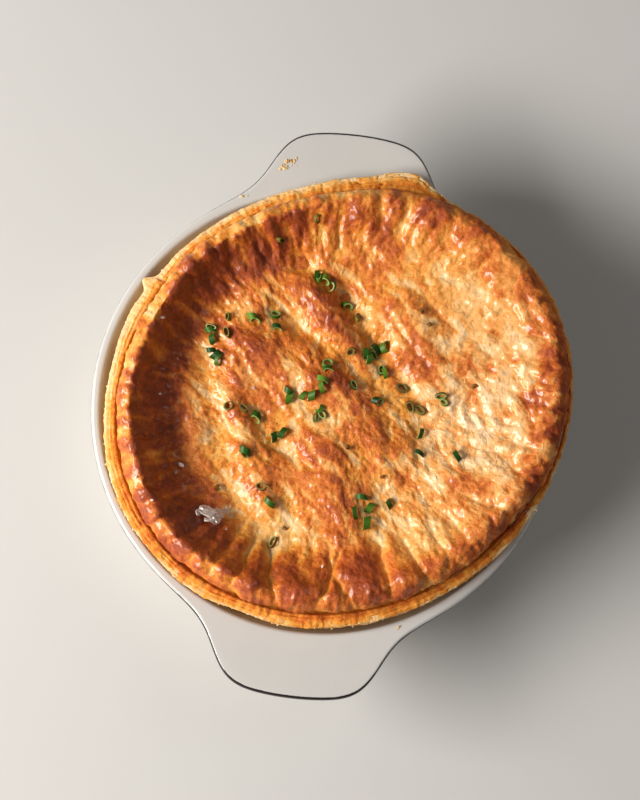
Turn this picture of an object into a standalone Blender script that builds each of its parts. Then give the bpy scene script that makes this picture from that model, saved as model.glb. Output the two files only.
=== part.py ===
# Chicken pot pie in the round two-handled dish it was baked in.
# Named sizes are millimetres; MM turns them into the metres that the meshes hold.
# The dish stands on z = 0 with its centre on the Z axis and its two tab handles along +Y and -Y.

from math import acos, atan2, cos, exp, hypot, pi, radians, sin, sqrt, tan

import bmesh
import bpy

MM = 0.001
GAP = 0.35  # clearance between the baked filling and the dish

# Dish
DISH_RADIUS = 80.0  # outer edge of the rim between the handles
DISH_HEIGHT = 40.0
RIM_WIDTH = 3.2
RIM_LIP = 0.6  # how far the rim stands out from the outer wall carried up to its height
RIM_THICKNESS = 4.2  # rim and handles share one thickness
FLOOR_THICKNESS = 4.0
OUTER_LEAN = radians(13)  # the wall is thicker towards the floor
INNER_LEAN = radians(15)
OUTER_CORNER = 9.0
INNER_CORNER = 7.5
TAB_REACH = 18.6  # how far a handle stands out past the rim
TAB_HALF_ANGLE = radians(18.6)
TAB_SHARPNESS = 6
DISH_SEGMENTS = 88

# Pastry lid: it sits off centre and is slightly oval
LID_CENTRE = (4.5, 3.0)
EDGE_RADIUS = 77.4  # lowest pastry layer
EDGE_OVAL, EDGE_OVAL_TURN = 3.2, radians(43)
EDGE_LOBE, EDGE_LOBE_AT, EDGE_LOBE_WIDTH = 3.0, radians(78), radians(8)
BROWN_RADIUS = 74.2  # browned top sheet, which ends short of the lowest layer
BROWN_SHIFT, BROWN_SHIFT_AT = 1.35, radians(14)
BROWN_OVAL, BROWN_OVAL_TURN = 3.9, radians(37)
LEAST_STEP = 0.5
CREST_INSET = 6.5  # from the browned edge in to the crest
CREST_HEIGHT = 14.5  # above the rim
CREST_WAVE = 0.8
SHOULDER_DROP = 6.5
FOOT_RADIUS, FOOT_SHIFT = 46.0, 5.0  # where the inner slope ends, nearer the middle on the right
FLOOR_HEIGHT = 2.6  # above the rim
PLEATS = 24
PLEAT_DEPTH = 1.1
FILLING_BELOW_RIM = 12.0
LID_SEGMENTS = 96

# Folds of the sunken middle: start, end, half width, height (a valley's is negative)
FOLDS = {
    "left_mound": ((-30, 20), (-2, 9), 11, 3.0),
    "back_mound": ((-13, 38), (-2, 25), 9, 3.0),
    "front_mound": ((2, -12), (12, -38), 10, 3.0),
    "middle_ridge": ((6, 4), (27, -17), 8, 2.0),
    "puffed_right": ((17, 38), (36, 14), 11, 3.2),
    "side_blister": ((-39, 1), (-34, -12), 6, 2.2),
    "front_left_ridge": ((-28, -12), (-13, -33), 6, 1.5),
    "back_crease": ((-12, 46), (4, 39), 4, -2.4),
    "long_crease": ((4, 39), (15, 23), 4, -2.6),
    "crease_end": ((15, 23), (27, 7), 4, -1.8),
    "left_valley": ((-38, 11), (-20, -2), 4, -1.8),
    "middle_valley": ((-20, -2), (-3, -21), 4, -1.6),
    "front_valley": ((-40, -28), (-14, -47), 6, -1.0),
    "right_valley": ((41, 12), (52, -14), 8, -1.2),
}


def clear_scene():
    for item in list(bpy.data.objects):
        bpy.data.objects.remove(item)


def smooth(t):
    t = min(max(t, 0.0), 1.0)
    return t * t * (3 - 2 * t)


def turn_from(angle, other):
    """Smallest turn between two directions."""
    return abs((angle - other + pi) % (2 * pi) - pi)


# Dish outline and profile


def tab_reach(angle):
    """How far the outline stands out past the round rim, largest on the Y axis."""
    off_axis = min(turn_from(angle, pi / 2), turn_from(angle, -pi / 2))
    return TAB_REACH / (1 + (off_axis / TAB_HALF_ANGLE) ** TAB_SHARPNESS)


def outline_angles(count):
    """Directions that cut the outline into equal lengths, so the handles' corners get their share."""
    fine = 3600
    angles = [2 * pi * i / fine for i in range(fine + 1)]
    radii = [DISH_RADIUS + tab_reach(a) for a in angles]
    lengths = [0.0]
    for i in range(fine):
        step = hypot(radii[i + 1] - radii[i], radii[i] * (angles[i + 1] - angles[i]))
        lengths.append(lengths[-1] + step)
    result = []
    i = 0
    for k in range(count):
        target = lengths[-1] * k / count
        while lengths[i + 1] < target:
            i += 1
        share = (target - lengths[i]) / (lengths[i + 1] - lengths[i])
        result.append(angles[i] + share * (angles[i + 1] - angles[i]))
    return result


def inner_radius(z):
    """Inside of the dish at height z, on its straight wall."""
    return DISH_RADIUS - RIM_WIDTH - (DISH_HEIGHT - z) * tan(INNER_LEAN)


def outer_radius(z):
    """Outside of the wall at height z, below the rim."""
    return DISH_RADIUS - RIM_LIP - (DISH_HEIGHT - z) * tan(OUTER_LEAN)


def rounded(corners):
    """Profile points (r, z, on_tab) with each corner (r, z, radius, steps, on_tab) turned into an arc."""
    points = []
    for i, (r, z, radius, steps, on_tab) in enumerate(corners):
        if not radius:
            points.append((r, z, on_tab))
            continue
        before = corners[i - 1]
        after = corners[i + 1]
        u = unit(before[0] - r, before[1] - z)
        v = unit(after[0] - r, after[1] - z)
        half = acos(u[0] * v[0] + u[1] * v[1]) / 2
        reach = radius / tan(half)
        to_centre = unit(u[0] + v[0], u[1] + v[1])
        centre = (r + to_centre[0] * radius / sin(half), z + to_centre[1] * radius / sin(half))
        first = atan2(z + u[1] * reach - centre[1], r + u[0] * reach - centre[0])
        last = atan2(z + v[1] * reach - centre[1], r + v[0] * reach - centre[0])
        sweep = (last - first + pi) % (2 * pi) - pi
        for k in range(steps + 1):
            a = first + sweep * k / steps
            points.append((centre[0] + radius * cos(a), centre[1] + radius * sin(a), on_tab))
    return points


def unit(x, y):
    size = hypot(x, y)
    return x / size, y / size


def dish_profile():
    under_rim = DISH_HEIGHT - RIM_THICKNESS
    corners = [
        (0, 0, 0, 0, False),
        (outer_radius(0), 0, OUTER_CORNER, 4, False),
        (outer_radius(under_rim), under_rim, 0.6, 1, False),
        (DISH_RADIUS, under_rim, 1.0, 2, True),
        (DISH_RADIUS, DISH_HEIGHT, 1.3, 2, True),
        (DISH_RADIUS - RIM_WIDTH, DISH_HEIGHT, 1.1, 2, False),
        (inner_radius(FLOOR_THICKNESS), FLOOR_THICKNESS, INNER_CORNER, 4, False),
        (0, FLOOR_THICKNESS, 0, 0, False),
    ]
    return rounded(corners)[1:-1]


# Pastry outline and relief


def edge_radius(angle):
    lobe = EDGE_LOBE * exp(-((turn_from(angle, EDGE_LOBE_AT) / EDGE_LOBE_WIDTH) ** 2))
    return EDGE_RADIUS + EDGE_OVAL * cos(2 * (angle - EDGE_OVAL_TURN)) + lobe


def brown_radius(angle):
    oval = BROWN_OVAL * cos(2 * (angle - BROWN_OVAL_TURN))
    radius = BROWN_RADIUS + BROWN_SHIFT * cos(angle - BROWN_SHIFT_AT) + oval
    return min(radius, edge_radius(angle) - LEAST_STEP)


def crest_radius(angle):
    return brown_radius(angle) - CREST_INSET


def crest_height(angle):
    return CREST_HEIGHT + CREST_WAVE * sin(3 * angle + 0.6)


def foot_radius(angle):
    return FOOT_RADIUS - FOOT_SHIFT * cos(angle)


def fold_height(x, y):
    total = 0.0
    for start, end, half_width, height in FOLDS.values():
        along = (end[0] - start[0], end[1] - start[1])
        length_squared = along[0] ** 2 + along[1] ** 2
        t = ((x - start[0]) * along[0] + (y - start[1]) * along[1]) / length_squared
        t = min(max(t, 0.0), 1.0)
        off = hypot(x - start[0] - t * along[0], y - start[1] - t * along[1])
        total += height * exp(-((off / half_width) ** 2))
    return total


def lid_height(angle, rho):
    """Height above the rim of the pastry's top, inside its browned edge."""
    foot = foot_radius(angle)
    crest = crest_radius(angle)
    climb = smooth((rho - foot) / (crest - foot))
    x = LID_CENTRE[0] + rho * cos(angle)
    y = LID_CENTRE[1] + rho * sin(angle)
    height = FLOOR_HEIGHT + (1 - climb) * fold_height(x, y)
    height += climb * (crest_height(angle) - FLOOR_HEIGHT)
    pleat_window = sin(pi * min(max((rho - foot) / (crest + 3 - foot), 0.0), 1.0)) ** 2
    front_and_back = 0.35 + 0.65 * sin(angle) ** 2
    height -= PLEAT_DEPTH * front_and_back * pleat_window * (0.5 + 0.5 * cos(PLEATS * angle))
    if rho > crest:
        u = min((rho - crest) / (brown_radius(angle) - crest), 1.0)
        height -= SHOULDER_DROP * (1 - sqrt(1 - u * u))
    return height


# Solids from rings


def solid_from_rings(name, rings, tip):
    """Closed solid: a flat face on the first ring, walls between rings, and the tip point or a flat face last."""
    mesh = bmesh.new()
    loops = [[mesh.verts.new([c * MM for c in point]) for point in ring] for ring in rings]
    for lower, upper in zip(loops, loops[1:]):
        for i, corner in enumerate(lower):
            j = (i + 1) % len(lower)
            mesh.faces.new((corner, lower[j], upper[j], upper[i]))
    mesh.faces.new(list(reversed(loops[0])))
    if tip:
        top = mesh.verts.new([c * MM for c in tip])
        last = loops[-1]
        for i, corner in enumerate(last):
            mesh.faces.new((corner, last[(i + 1) % len(last)], top))
    else:
        mesh.faces.new(loops[-1])
    data = bpy.data.meshes.new(name)
    mesh.to_mesh(data)
    mesh.free()
    data.shade_smooth()
    data.set_sharp_from_angle(angle=radians(40))
    item = bpy.data.objects.new(name, data)
    bpy.context.scene.collection.objects.link(item)
    return item


def dish_ring(radius, z, on_tab, angles):
    ring = []
    for a in angles:
        r = radius + (tab_reach(a) if on_tab else 0.0)
        ring.append((r * cos(a), r * sin(a), z))
    return ring


def build_dish():
    angles = outline_angles(DISH_SEGMENTS)
    rings = [dish_ring(r, z, on_tab, angles) for r, z, on_tab in dish_profile()]
    return solid_from_rings("dish", rings, None)


def filling_rings(angles):
    """The filling against the dish: flat below, round corner, then up the wall to its level."""
    floor = FLOOR_THICKNESS + GAP
    level = DISH_HEIGHT - FILLING_BELOW_RIM
    corners = [
        (0, floor, 0, 0, False),
        (inner_radius(floor) - GAP, floor, INNER_CORNER, 3, False),
        (inner_radius(level) - GAP, level, 0, 0, False),
    ]
    return [dish_ring(r, z, False, angles) for r, z, _ in rounded(corners)[1:]]


def lid_ring(radius_of, z_above_rim, angles, inside_dish):
    """A ring of the lid about its own centre, drawn in from the dish's wall where inside_dish is set."""
    z = DISH_HEIGHT + z_above_rim
    limit = inner_radius(min(z, DISH_HEIGHT)) - GAP
    ring = []
    for a in angles:
        x = LID_CENTRE[0] + radius_of(a) * cos(a)
        y = LID_CENTRE[1] + radius_of(a) * sin(a)
        pull = min(1.0, limit / hypot(x, y)) if inside_dish else 1.0
        ring.append((x * pull, y * pull, z))
    return ring


def top_ring(share_of, angles):
    """A ring on the lid's relief; share_of gives its distance from the lid's centre."""
    ring = []
    for a in angles:
        rho = share_of(a)
        x = LID_CENTRE[0] + rho * cos(a)
        y = LID_CENTRE[1] + rho * sin(a)
        ring.append((x, y, DISH_HEIGHT + lid_height(a, rho)))
    return ring


def between(low, high, share):
    return lambda a: low(a) + share * (high(a) - low(a))


def build_pie():
    angles = [2 * pi * i / LID_SEGMENTS for i in range(LID_SEGMENTS)]
    level = -FILLING_BELOW_RIM
    rings = filling_rings(angles)
    rings.append(lid_ring(lambda a: edge_radius(a) - 1.5, level + 0.5, angles, True))
    rings.append(lid_ring(lambda a: edge_radius(a) - 1.0, 0.4, angles, True))
    rings.append(lid_ring(lambda a: edge_radius(a) - 0.8, 0.9, angles, False))
    rings.append(lid_ring(edge_radius, 2.0, angles, False))
    rings.append(lid_ring(between(edge_radius, brown_radius, 0.35), 4.0, angles, False))
    rings.append(lid_ring(between(edge_radius, brown_radius, 0.95), 6.4, angles, False))
    rings.append(lid_ring(lambda a: brown_radius(a) - 0.9, 6.9, angles, False))
    rings.append(top_ring(brown_radius, angles))
    for share in (0.85, 0.6, 0.3, 0.0):
        rings.append(top_ring(between(crest_radius, brown_radius, share), angles))
    for share in (0.85, 0.7, 0.55, 0.4, 0.25, 0.0):
        rings.append(top_ring(between(foot_radius, crest_radius, share), angles))
    for share in (0.82, 0.64, 0.46, 0.28, 0.12):
        rings.append(top_ring(lambda a, s=share: s * foot_radius(a), angles))
    centre = (*LID_CENTRE, DISH_HEIGHT + lid_height(0.0, 0.0))
    return solid_from_rings("pie", rings, centre)


def give_material(item, name, colour, roughness):
    material = bpy.data.materials.new(name)
    material.use_nodes = True
    shader = material.node_tree.nodes["Principled BSDF"]
    shader.inputs["Base Color"].default_value = (*colour, 1)
    shader.inputs["Roughness"].default_value = roughness
    shader.inputs["Metallic"].default_value = 0.0
    item.data.materials.append(material)


def main():
    clear_scene()
    give_material(build_dish(), "white_enamel", (0.80, 0.78, 0.75), 0.22)
    give_material(build_pie(), "baked_pastry", (0.62, 0.27, 0.07), 0.42)


main()
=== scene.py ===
# Chicken pot pie in its enamelled dish: the finish of every surface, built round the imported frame.
# Lengths in the dictionaries are millimetres; mm turns them into the metres that Blender uses.
from math import acos, atan2, cos, hypot, pi, radians, sin, tan

import bpy
import numpy as np
from mathutils import Matrix, Vector


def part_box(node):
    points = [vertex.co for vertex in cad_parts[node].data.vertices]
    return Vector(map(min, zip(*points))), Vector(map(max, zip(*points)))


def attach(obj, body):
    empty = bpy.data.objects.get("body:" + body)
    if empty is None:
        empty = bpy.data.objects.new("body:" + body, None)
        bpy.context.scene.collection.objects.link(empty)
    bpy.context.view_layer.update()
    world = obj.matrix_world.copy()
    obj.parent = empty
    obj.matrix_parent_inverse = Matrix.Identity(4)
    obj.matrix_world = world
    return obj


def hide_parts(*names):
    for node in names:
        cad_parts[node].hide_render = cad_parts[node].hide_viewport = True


mm = 0.001
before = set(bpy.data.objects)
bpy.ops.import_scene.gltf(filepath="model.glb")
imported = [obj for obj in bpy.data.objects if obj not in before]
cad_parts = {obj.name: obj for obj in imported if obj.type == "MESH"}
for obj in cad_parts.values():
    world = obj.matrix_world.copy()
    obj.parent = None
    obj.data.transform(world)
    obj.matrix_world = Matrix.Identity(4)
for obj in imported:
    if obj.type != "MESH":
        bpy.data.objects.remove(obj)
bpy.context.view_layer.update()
print("frame loaded:", sorted(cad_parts))

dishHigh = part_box("dish")[1]
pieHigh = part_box("pie")[1]
rimRadius = dishHigh.x / mm
rimHeight = dishHigh.z / mm
tabReach = (dishHigh.y - dishHigh.x) / mm
crestTop = pieHigh.z / mm - rimHeight
dropHeight = (rimHeight + crestTop + 20) * mm  # where chives, salt and crumbs start from


# Small helpers for node trees


def plug(tree, slot, value):
    if isinstance(value, Wire):
        tree.links.new(value.socket, slot)
    elif isinstance(value, bpy.types.NodeSocket):
        tree.links.new(value, slot)
    else:
        slot.default_value = value


def addNode(tree, kind, inputs=(), **settings):
    node = tree.nodes.new(kind)
    for key, value in settings.items():
        setattr(node, key, value)
    for key, value in dict(inputs).items():
        plug(tree, node.inputs[key], value)
    return node


class Wire:
    # A node's output that can be used in sums: each sum adds its Math node to the tree

    def __init__(self, tree, socket):
        self.tree = tree
        self.socket = socket

    def math(self, operation, *others):
        node = self.tree.nodes.new("ShaderNodeMath")
        node.operation = operation
        for slot, value in zip(node.inputs, (self, *others)):
            plug(self.tree, slot, value)
        return Wire(self.tree, node.outputs[0])

    def __add__(self, other):
        return self.math("ADD", other)

    def __sub__(self, other):
        return self.math("SUBTRACT", other)

    def __mul__(self, other):
        return self.math("MULTIPLY", other)

    def __truediv__(self, other):
        return self.math("DIVIDE", other)

    def __pow__(self, other):
        return self.math("POWER", other)


def splitVector(tree, socket):
    node = addNode(tree, "ShaderNodeSeparateXYZ", {0: socket})
    return [Wire(tree, out) for out in node.outputs]


def joinVector(tree, x, y, z):
    return Wire(tree, addNode(tree, "ShaderNodeCombineXYZ", {0: x, 1: y, 2: z}).outputs[0])


def noiseField(tree, vector, scale, detail=2.0, roughness=0.5):
    inputs = {"Vector": vector, "Scale": scale, "Detail": detail, "Roughness": roughness}
    return Wire(tree, addNode(tree, "ShaderNodeTexNoise", inputs).outputs[0])


def scaleVector(tree, vector, factor):
    inputs = {0: vector, "Scale": factor}
    return addNode(tree, "ShaderNodeVectorMath", inputs, operation="SCALE").outputs[0]


def positionHere(tree):
    return addNode(tree, "GeometryNodeInputPosition").outputs[0]


def liveSocket(sockets, name):
    # A node that takes several kinds of value has a socket for each, and one is switched on
    return next(s for s in sockets if s.enabled and s.name == name)


def namedValue(tree, name, kind="FLOAT"):
    node = addNode(tree, "GeometryNodeInputNamedAttribute", {"Name": name}, data_type=kind)
    return Wire(tree, node.outputs[0])


def keepValue(tree, geometry, name, value, domain="POINT", kind="FLOAT"):
    inputs = {"Geometry": geometry, "Name": name}
    node = addNode(tree, "GeometryNodeStoreNamedAttribute", inputs, data_type=kind, domain=domain)
    plug(tree, liveSocket(node.inputs, "Value"), value)
    return Wire(tree, node.outputs[0])


def sampleAt(tree, source, value, index, kind):
    # A value of another geometry's, read at a numbered point of it
    sample = addNode(tree, "GeometryNodeSampleIndex", {0: source, "Index": index}, data_type=kind)
    plug(tree, liveSocket(sample.inputs, "Value"), value)
    return Wire(tree, next(s for s in sample.outputs if s.enabled))


def randomValue(tree, kind, low, high, seed):
    node = addNode(tree, "FunctionNodeRandomValue", {"Seed": seed}, data_type=kind)
    plug(tree, liveSocket(node.inputs, "Min"), low)
    plug(tree, liveSocket(node.inputs, "Max"), high)
    return Wire(tree, next(s for s in node.outputs if s.enabled))


def moveTo(tree, geometry, place):
    inputs = {"Geometry": geometry, "Position": place}
    return addNode(tree, "GeometryNodeSetPosition", inputs).outputs[0]


def moveBy(tree, geometry, offset):
    inputs = {"Geometry": geometry, "Offset": offset}
    return addNode(tree, "GeometryNodeSetPosition", inputs).outputs[0]


def weld(tree, geometry):
    inputs = {"Geometry": geometry, "Distance": 1e-6}
    return addNode(tree, "GeometryNodeMergeByDistance", inputs).outputs[0]


def newTree(name, sockets):
    # A Geometry Nodes tree with a geometry in and out and the named inputs given
    tree = bpy.data.node_groups.new(name, "GeometryNodeTree")
    tree.interface.new_socket("Geometry", in_out="INPUT", socket_type="NodeSocketGeometry")
    tree.interface.new_socket("Geometry", in_out="OUTPUT", socket_type="NodeSocketGeometry")
    for label, kind in sockets.items():
        tree.interface.new_socket(label, in_out="INPUT", socket_type="NodeSocket" + kind)
    source = tree.nodes.new("NodeGroupInput")
    return tree, {out.name: Wire(tree, out) for out in source.outputs if out.name}


def endTree(tree, geometry, material, rounded=True, crispOver=None):
    # Every tree ends the same way: real geometry, shaded smooth or flat, in its own material.
    # Edges that turn by more than crispOver (radians) stay crisp.
    real = addNode(tree, "GeometryNodeRealizeInstances", {0: geometry}).outputs[0]
    shaded = addNode(tree, "GeometryNodeSetShadeSmooth", {0: real, "Shade Smooth": rounded}).outputs[0]
    if crispOver:
        edgeAngle = Wire(tree, addNode(tree, "GeometryNodeInputMeshEdgeAngle").outputs[0])
        inputs = {0: shaded, "Selection": edgeAngle.math("GREATER_THAN", crispOver), "Shade Smooth": False}
        shaded = addNode(tree, "GeometryNodeSetShadeSmooth", inputs, domain="EDGE").outputs[0]
    dressed = addNode(tree, "GeometryNodeSetMaterial", {"Geometry": shaded, "Material": material})
    end = tree.nodes.new("NodeGroupOutput")
    tree.links.new(dressed.outputs[0], end.inputs[0])


def growPiece(name, tree, seedMesh, values):
    # Runs a tree on a mesh and keeps the result as a plain mesh object
    item = bpy.data.objects.new(name, seedMesh)
    bpy.context.scene.collection.objects.link(item)
    modifier = item.modifiers.new("grow", "NODES")
    modifier.node_group = tree
    for entry in tree.interface.items_tree:
        if entry.in_out == "INPUT" and entry.name in values:
            modifier[entry.identifier] = values[entry.name]
    bpy.context.view_layer.update()
    grown = item.evaluated_get(bpy.context.evaluated_depsgraph_get())
    mesh = bpy.data.meshes.new_from_object(grown)
    mesh.name = name
    item.modifiers.remove(modifier)
    item.data = mesh
    return item


def pointMesh(name, points, edges, **attributes):
    mesh = bpy.data.meshes.new(name)
    mesh.from_pydata([tuple(p) for p in points], edges, [])
    for key, values in attributes.items():
        storeValue(mesh, key, values)
    return mesh


def storeValue(mesh, name, values):
    layer = mesh.attributes.new(name, "FLOAT", "POINT")
    layer.data.foreach_set("value", np.asarray(values, np.float32))


# Seeded noise for modelled relief


def hashUnit(ix, iy, iz, seed):
    h = (ix * 374761393 + iy * 668265263 + iz * 1440662683 + seed * 974634777) & 0xFFFFFFFF
    h = ((h ^ (h >> 13)) * 1274126177) & 0xFFFFFFFF
    return (h ^ (h >> 16)) / 0xFFFFFFFF


def softNoise(points, size, seed):
    # Smooth noise from about -1 to 1; size is the spacing of its lattice
    scaled = points / size
    base = np.floor(scaled).astype(np.int64)
    f = scaled - base
    s = f * f * f * (f * (f * 6 - 15) + 10)
    total = np.zeros(len(points))
    for dx in (0, 1):
        for dy in (0, 1):
            for dz in (0, 1):
                cell = (base[:, 0] + dx, base[:, 1] + dy, base[:, 2] + dz)
                turn = 2 * pi * hashUnit(*cell, seed)
                rise = 2 * hashUnit(*cell, seed + 71) - 1
                flat = np.sqrt(1 - rise * rise)
                dot = np.cos(turn) * flat * (f[:, 0] - dx) + np.sin(turn) * flat * (f[:, 1] - dy)
                dot += rise * (f[:, 2] - dz)
                weight = np.abs(1 - dx - s[:, 0]) * np.abs(1 - dy - s[:, 1]) * np.abs(1 - dz - s[:, 2])
                total += weight * dot
    return total * 1.6


def puffNoise(points, size, seed):
    # Rounded swellings with sharp creases between them, from 0 in a crease to about 1
    return np.minimum(np.abs(softNoise(points, size, seed)) * 1.6, 1.2)


def bubbles(points, spacing, seed, share):
    # Domes scattered one to a cell of a loose grid; share is how many cells have one
    cell = np.floor(points[:, :2] / spacing).astype(np.int64)
    best = np.zeros(len(points))
    for dx in (-1, 0, 1):
        for dy in (-1, 0, 1):
            ix = cell[:, 0] + dx
            iy = cell[:, 1] + dy
            cx = (ix + 0.15 + 0.7 * hashUnit(ix, iy, 1, seed)) * spacing
            cy = (iy + 0.15 + 0.7 * hashUnit(ix, iy, 2, seed)) * spacing
            radius = spacing * (0.22 + 0.33 * hashUnit(ix, iy, 3, seed))
            there = hashUnit(ix, iy, 4, seed) < share
            off = ((points[:, 0] - cx) ** 2 + (points[:, 1] - cy) ** 2) / radius**2
            best = np.maximum(best, np.clip(1 - off, 0, 1) * there * radius / spacing * 2)
    return best


def smooth(t):
    t = np.clip(t, 0, 1)
    return t * t * (3 - 2 * t)


def turnFrom(angle, other):
    return np.abs((angle - other + pi) % (2 * pi) - pi)


def evenTurn(count):
    return np.arange(count) * 2 * pi / count


def wrapRound(angle, radius, along):
    # Places for noise that closes on itself round the pie
    return np.stack([np.cos(angle) * radius, np.sin(angle) * radius, along], 1)


# Meshes from rings


def stitch(a, countA, b, countB):
    # Faces between two rings that start at vertices a and b; one may have twice the other's points
    faces = []
    small = min(countA, countB)
    for i in range(small):
        j = (i + 1) % small
        if countA == countB:
            faces.append((a + i, a + j, b + j, b + i))
        elif countB > countA:
            k = [b + (2 * i + n) % countB for n in range(3)]
            faces += [(a + i, k[1], k[0]), (a + i, a + j, k[1]), (a + j, k[2], k[1])]
        else:
            k = [a + (2 * i + n) % countA for n in range(3)]
            faces += [(b + i, k[0], k[1]), (b + i, k[1], b + j), (b + j, k[1], k[2])]
    return faces


def meshPiece(name, points, faces):
    mesh = bpy.data.meshes.new(name)
    mesh.from_pydata(points * mm, [], faces)
    mesh.shade_smooth()
    item = bpy.data.objects.new(name, mesh)
    bpy.context.scene.collection.objects.link(item)
    return item


def closedFromRings(name, rings, firstTip, lastTip):
    # Rings of points from one tip to the other, closed at both, with faces turned outwards
    points = [np.array([firstTip])]
    starts = []
    total = 1
    for ring in rings:
        starts.append(total)
        points.append(ring)
        total += len(ring)
    points.append(np.array([lastTip]))
    points = np.concatenate(points)
    count = len(rings[0])
    faces = [(0, starts[0] + (i + 1) % count, starts[0] + i) for i in range(count)]
    for i in range(len(rings) - 1):
        faces += stitch(starts[i], len(rings[i]), starts[i + 1], len(rings[i + 1]))
    count = len(rings[-1])
    faces += [(starts[-1] + i, starts[-1] + (i + 1) % count, total) for i in range(count)]
    return meshPiece(name, points, [tuple(reversed(f)) for f in faces]), points


def loopFromRings(name, rings):
    # A closed band: every ring has the same count, and the last joins the first
    count = len(rings[0])
    points = np.concatenate(rings)
    faces = []
    for i in range(len(rings)):
        faces += stitch((i + 1) % len(rings) * count, count, i * count, count)
    return meshPiece(name, points, faces), points


def pressOut(item, points, height):
    # Moves each point of a piece along its normal by its own height
    mesh = item.data
    mesh.update()
    normals = np.zeros(len(mesh.vertices) * 3, np.float32)
    mesh.vertex_normals.foreach_get("vector", normals)
    points = points + normals.reshape(-1, 3) * height[:, None]
    mesh.vertices.foreach_set("co", (points * mm).astype(np.float32).ravel())
    mesh.update()
    return points


# Materials


def newMaterial(name):
    material = bpy.data.materials.new(name)
    material.use_nodes = True
    tree = material.node_tree
    shader = tree.nodes["Principled BSDF"]
    place = Wire(tree, addNode(tree, "ShaderNodeTexCoord").outputs["Object"])
    return material, tree, shader, place


def attributeField(tree, name):
    return Wire(tree, addNode(tree, "ShaderNodeAttribute", attribute_name=name).outputs["Fac"])


def colourRamp(tree, factor, stops):
    node = addNode(tree, "ShaderNodeValToRGB", {0: factor})
    while len(node.color_ramp.elements) < len(stops):
        node.color_ramp.elements.new(0.5)
    for element, (position, colour) in zip(node.color_ramp.elements, stops):
        element.position = position
        element.color = (*colour, 1)
    return Wire(tree, node.outputs[0])


def mixColour(tree, factor, first, second):
    node = addNode(tree, "ShaderNodeMix", data_type="RGBA")
    plug(tree, node.inputs[0], factor)
    for slot, colour in ((node.inputs[6], first), (node.inputs[7], second)):
        plug(tree, slot, colour if isinstance(colour, Wire) else (*colour, 1))
    return Wire(tree, node.outputs[2])


def remap(tree, value, low, high, newLow=0.0, newHigh=1.0):
    inputs = {0: value, 1: low, 2: high, 3: newLow, 4: newHigh}
    return Wire(tree, addNode(tree, "ShaderNodeMapRange", inputs).outputs[0])


def bumpInto(tree, shader, height, strength, distance):
    inputs = {"Height": height, "Strength": strength, "Distance": distance * mm}
    plug(tree, shader.inputs["Normal"], addNode(tree, "ShaderNodeBump", inputs).outputs[0])


pastryLook = {
    "stops": [  # from unbaked cream to the darkest crest
        (0.00, (0.98, 0.63, 0.28)),
        (0.16, (0.97, 0.51, 0.15)),
        (0.36, (0.92, 0.36, 0.042)),
        (0.56, (0.73, 0.185, 0.016)),
        (0.76, (0.43, 0.070, 0.008)),
        (1.00, (0.20, 0.030, 0.006)),
    ],
    # each pattern's scale (per metre) and how much it changes the browning
    "patches": (170, 0.30),
    "flecks": (650, 0.56),
    "pores": (1900, 0.40),
    "blisters": (620, 0.14),
    "flakes": (480, 0.12),  # where the top layer has come off
    "lines": (260, 0.05),  # squiggles in the skin, painted paler as glints
    "crumple": 800,
    "grainHeight": 0.56,
    "blisterHeight": 0.42,
    "lineHeight": 0.14,
    "glaze": 0.34,  # roughness where the egg wash lies
    "bare": 0.66,  # roughness where it doesn't
    "coat": 0.55,  # strength of the egg wash
    "coatRoughness": 0.19,
    "specular": 0.32,
    "thin": (1.0, 0.655, 0.40),  # tint where the skin is thin; on the crinkled right side it is partly painted sheen
    "glow": 0.16,  # how much light passes through
    "glowReach": (1.0, 0.42, 0.15),
    "glowDepth": 1.6,
}


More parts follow.
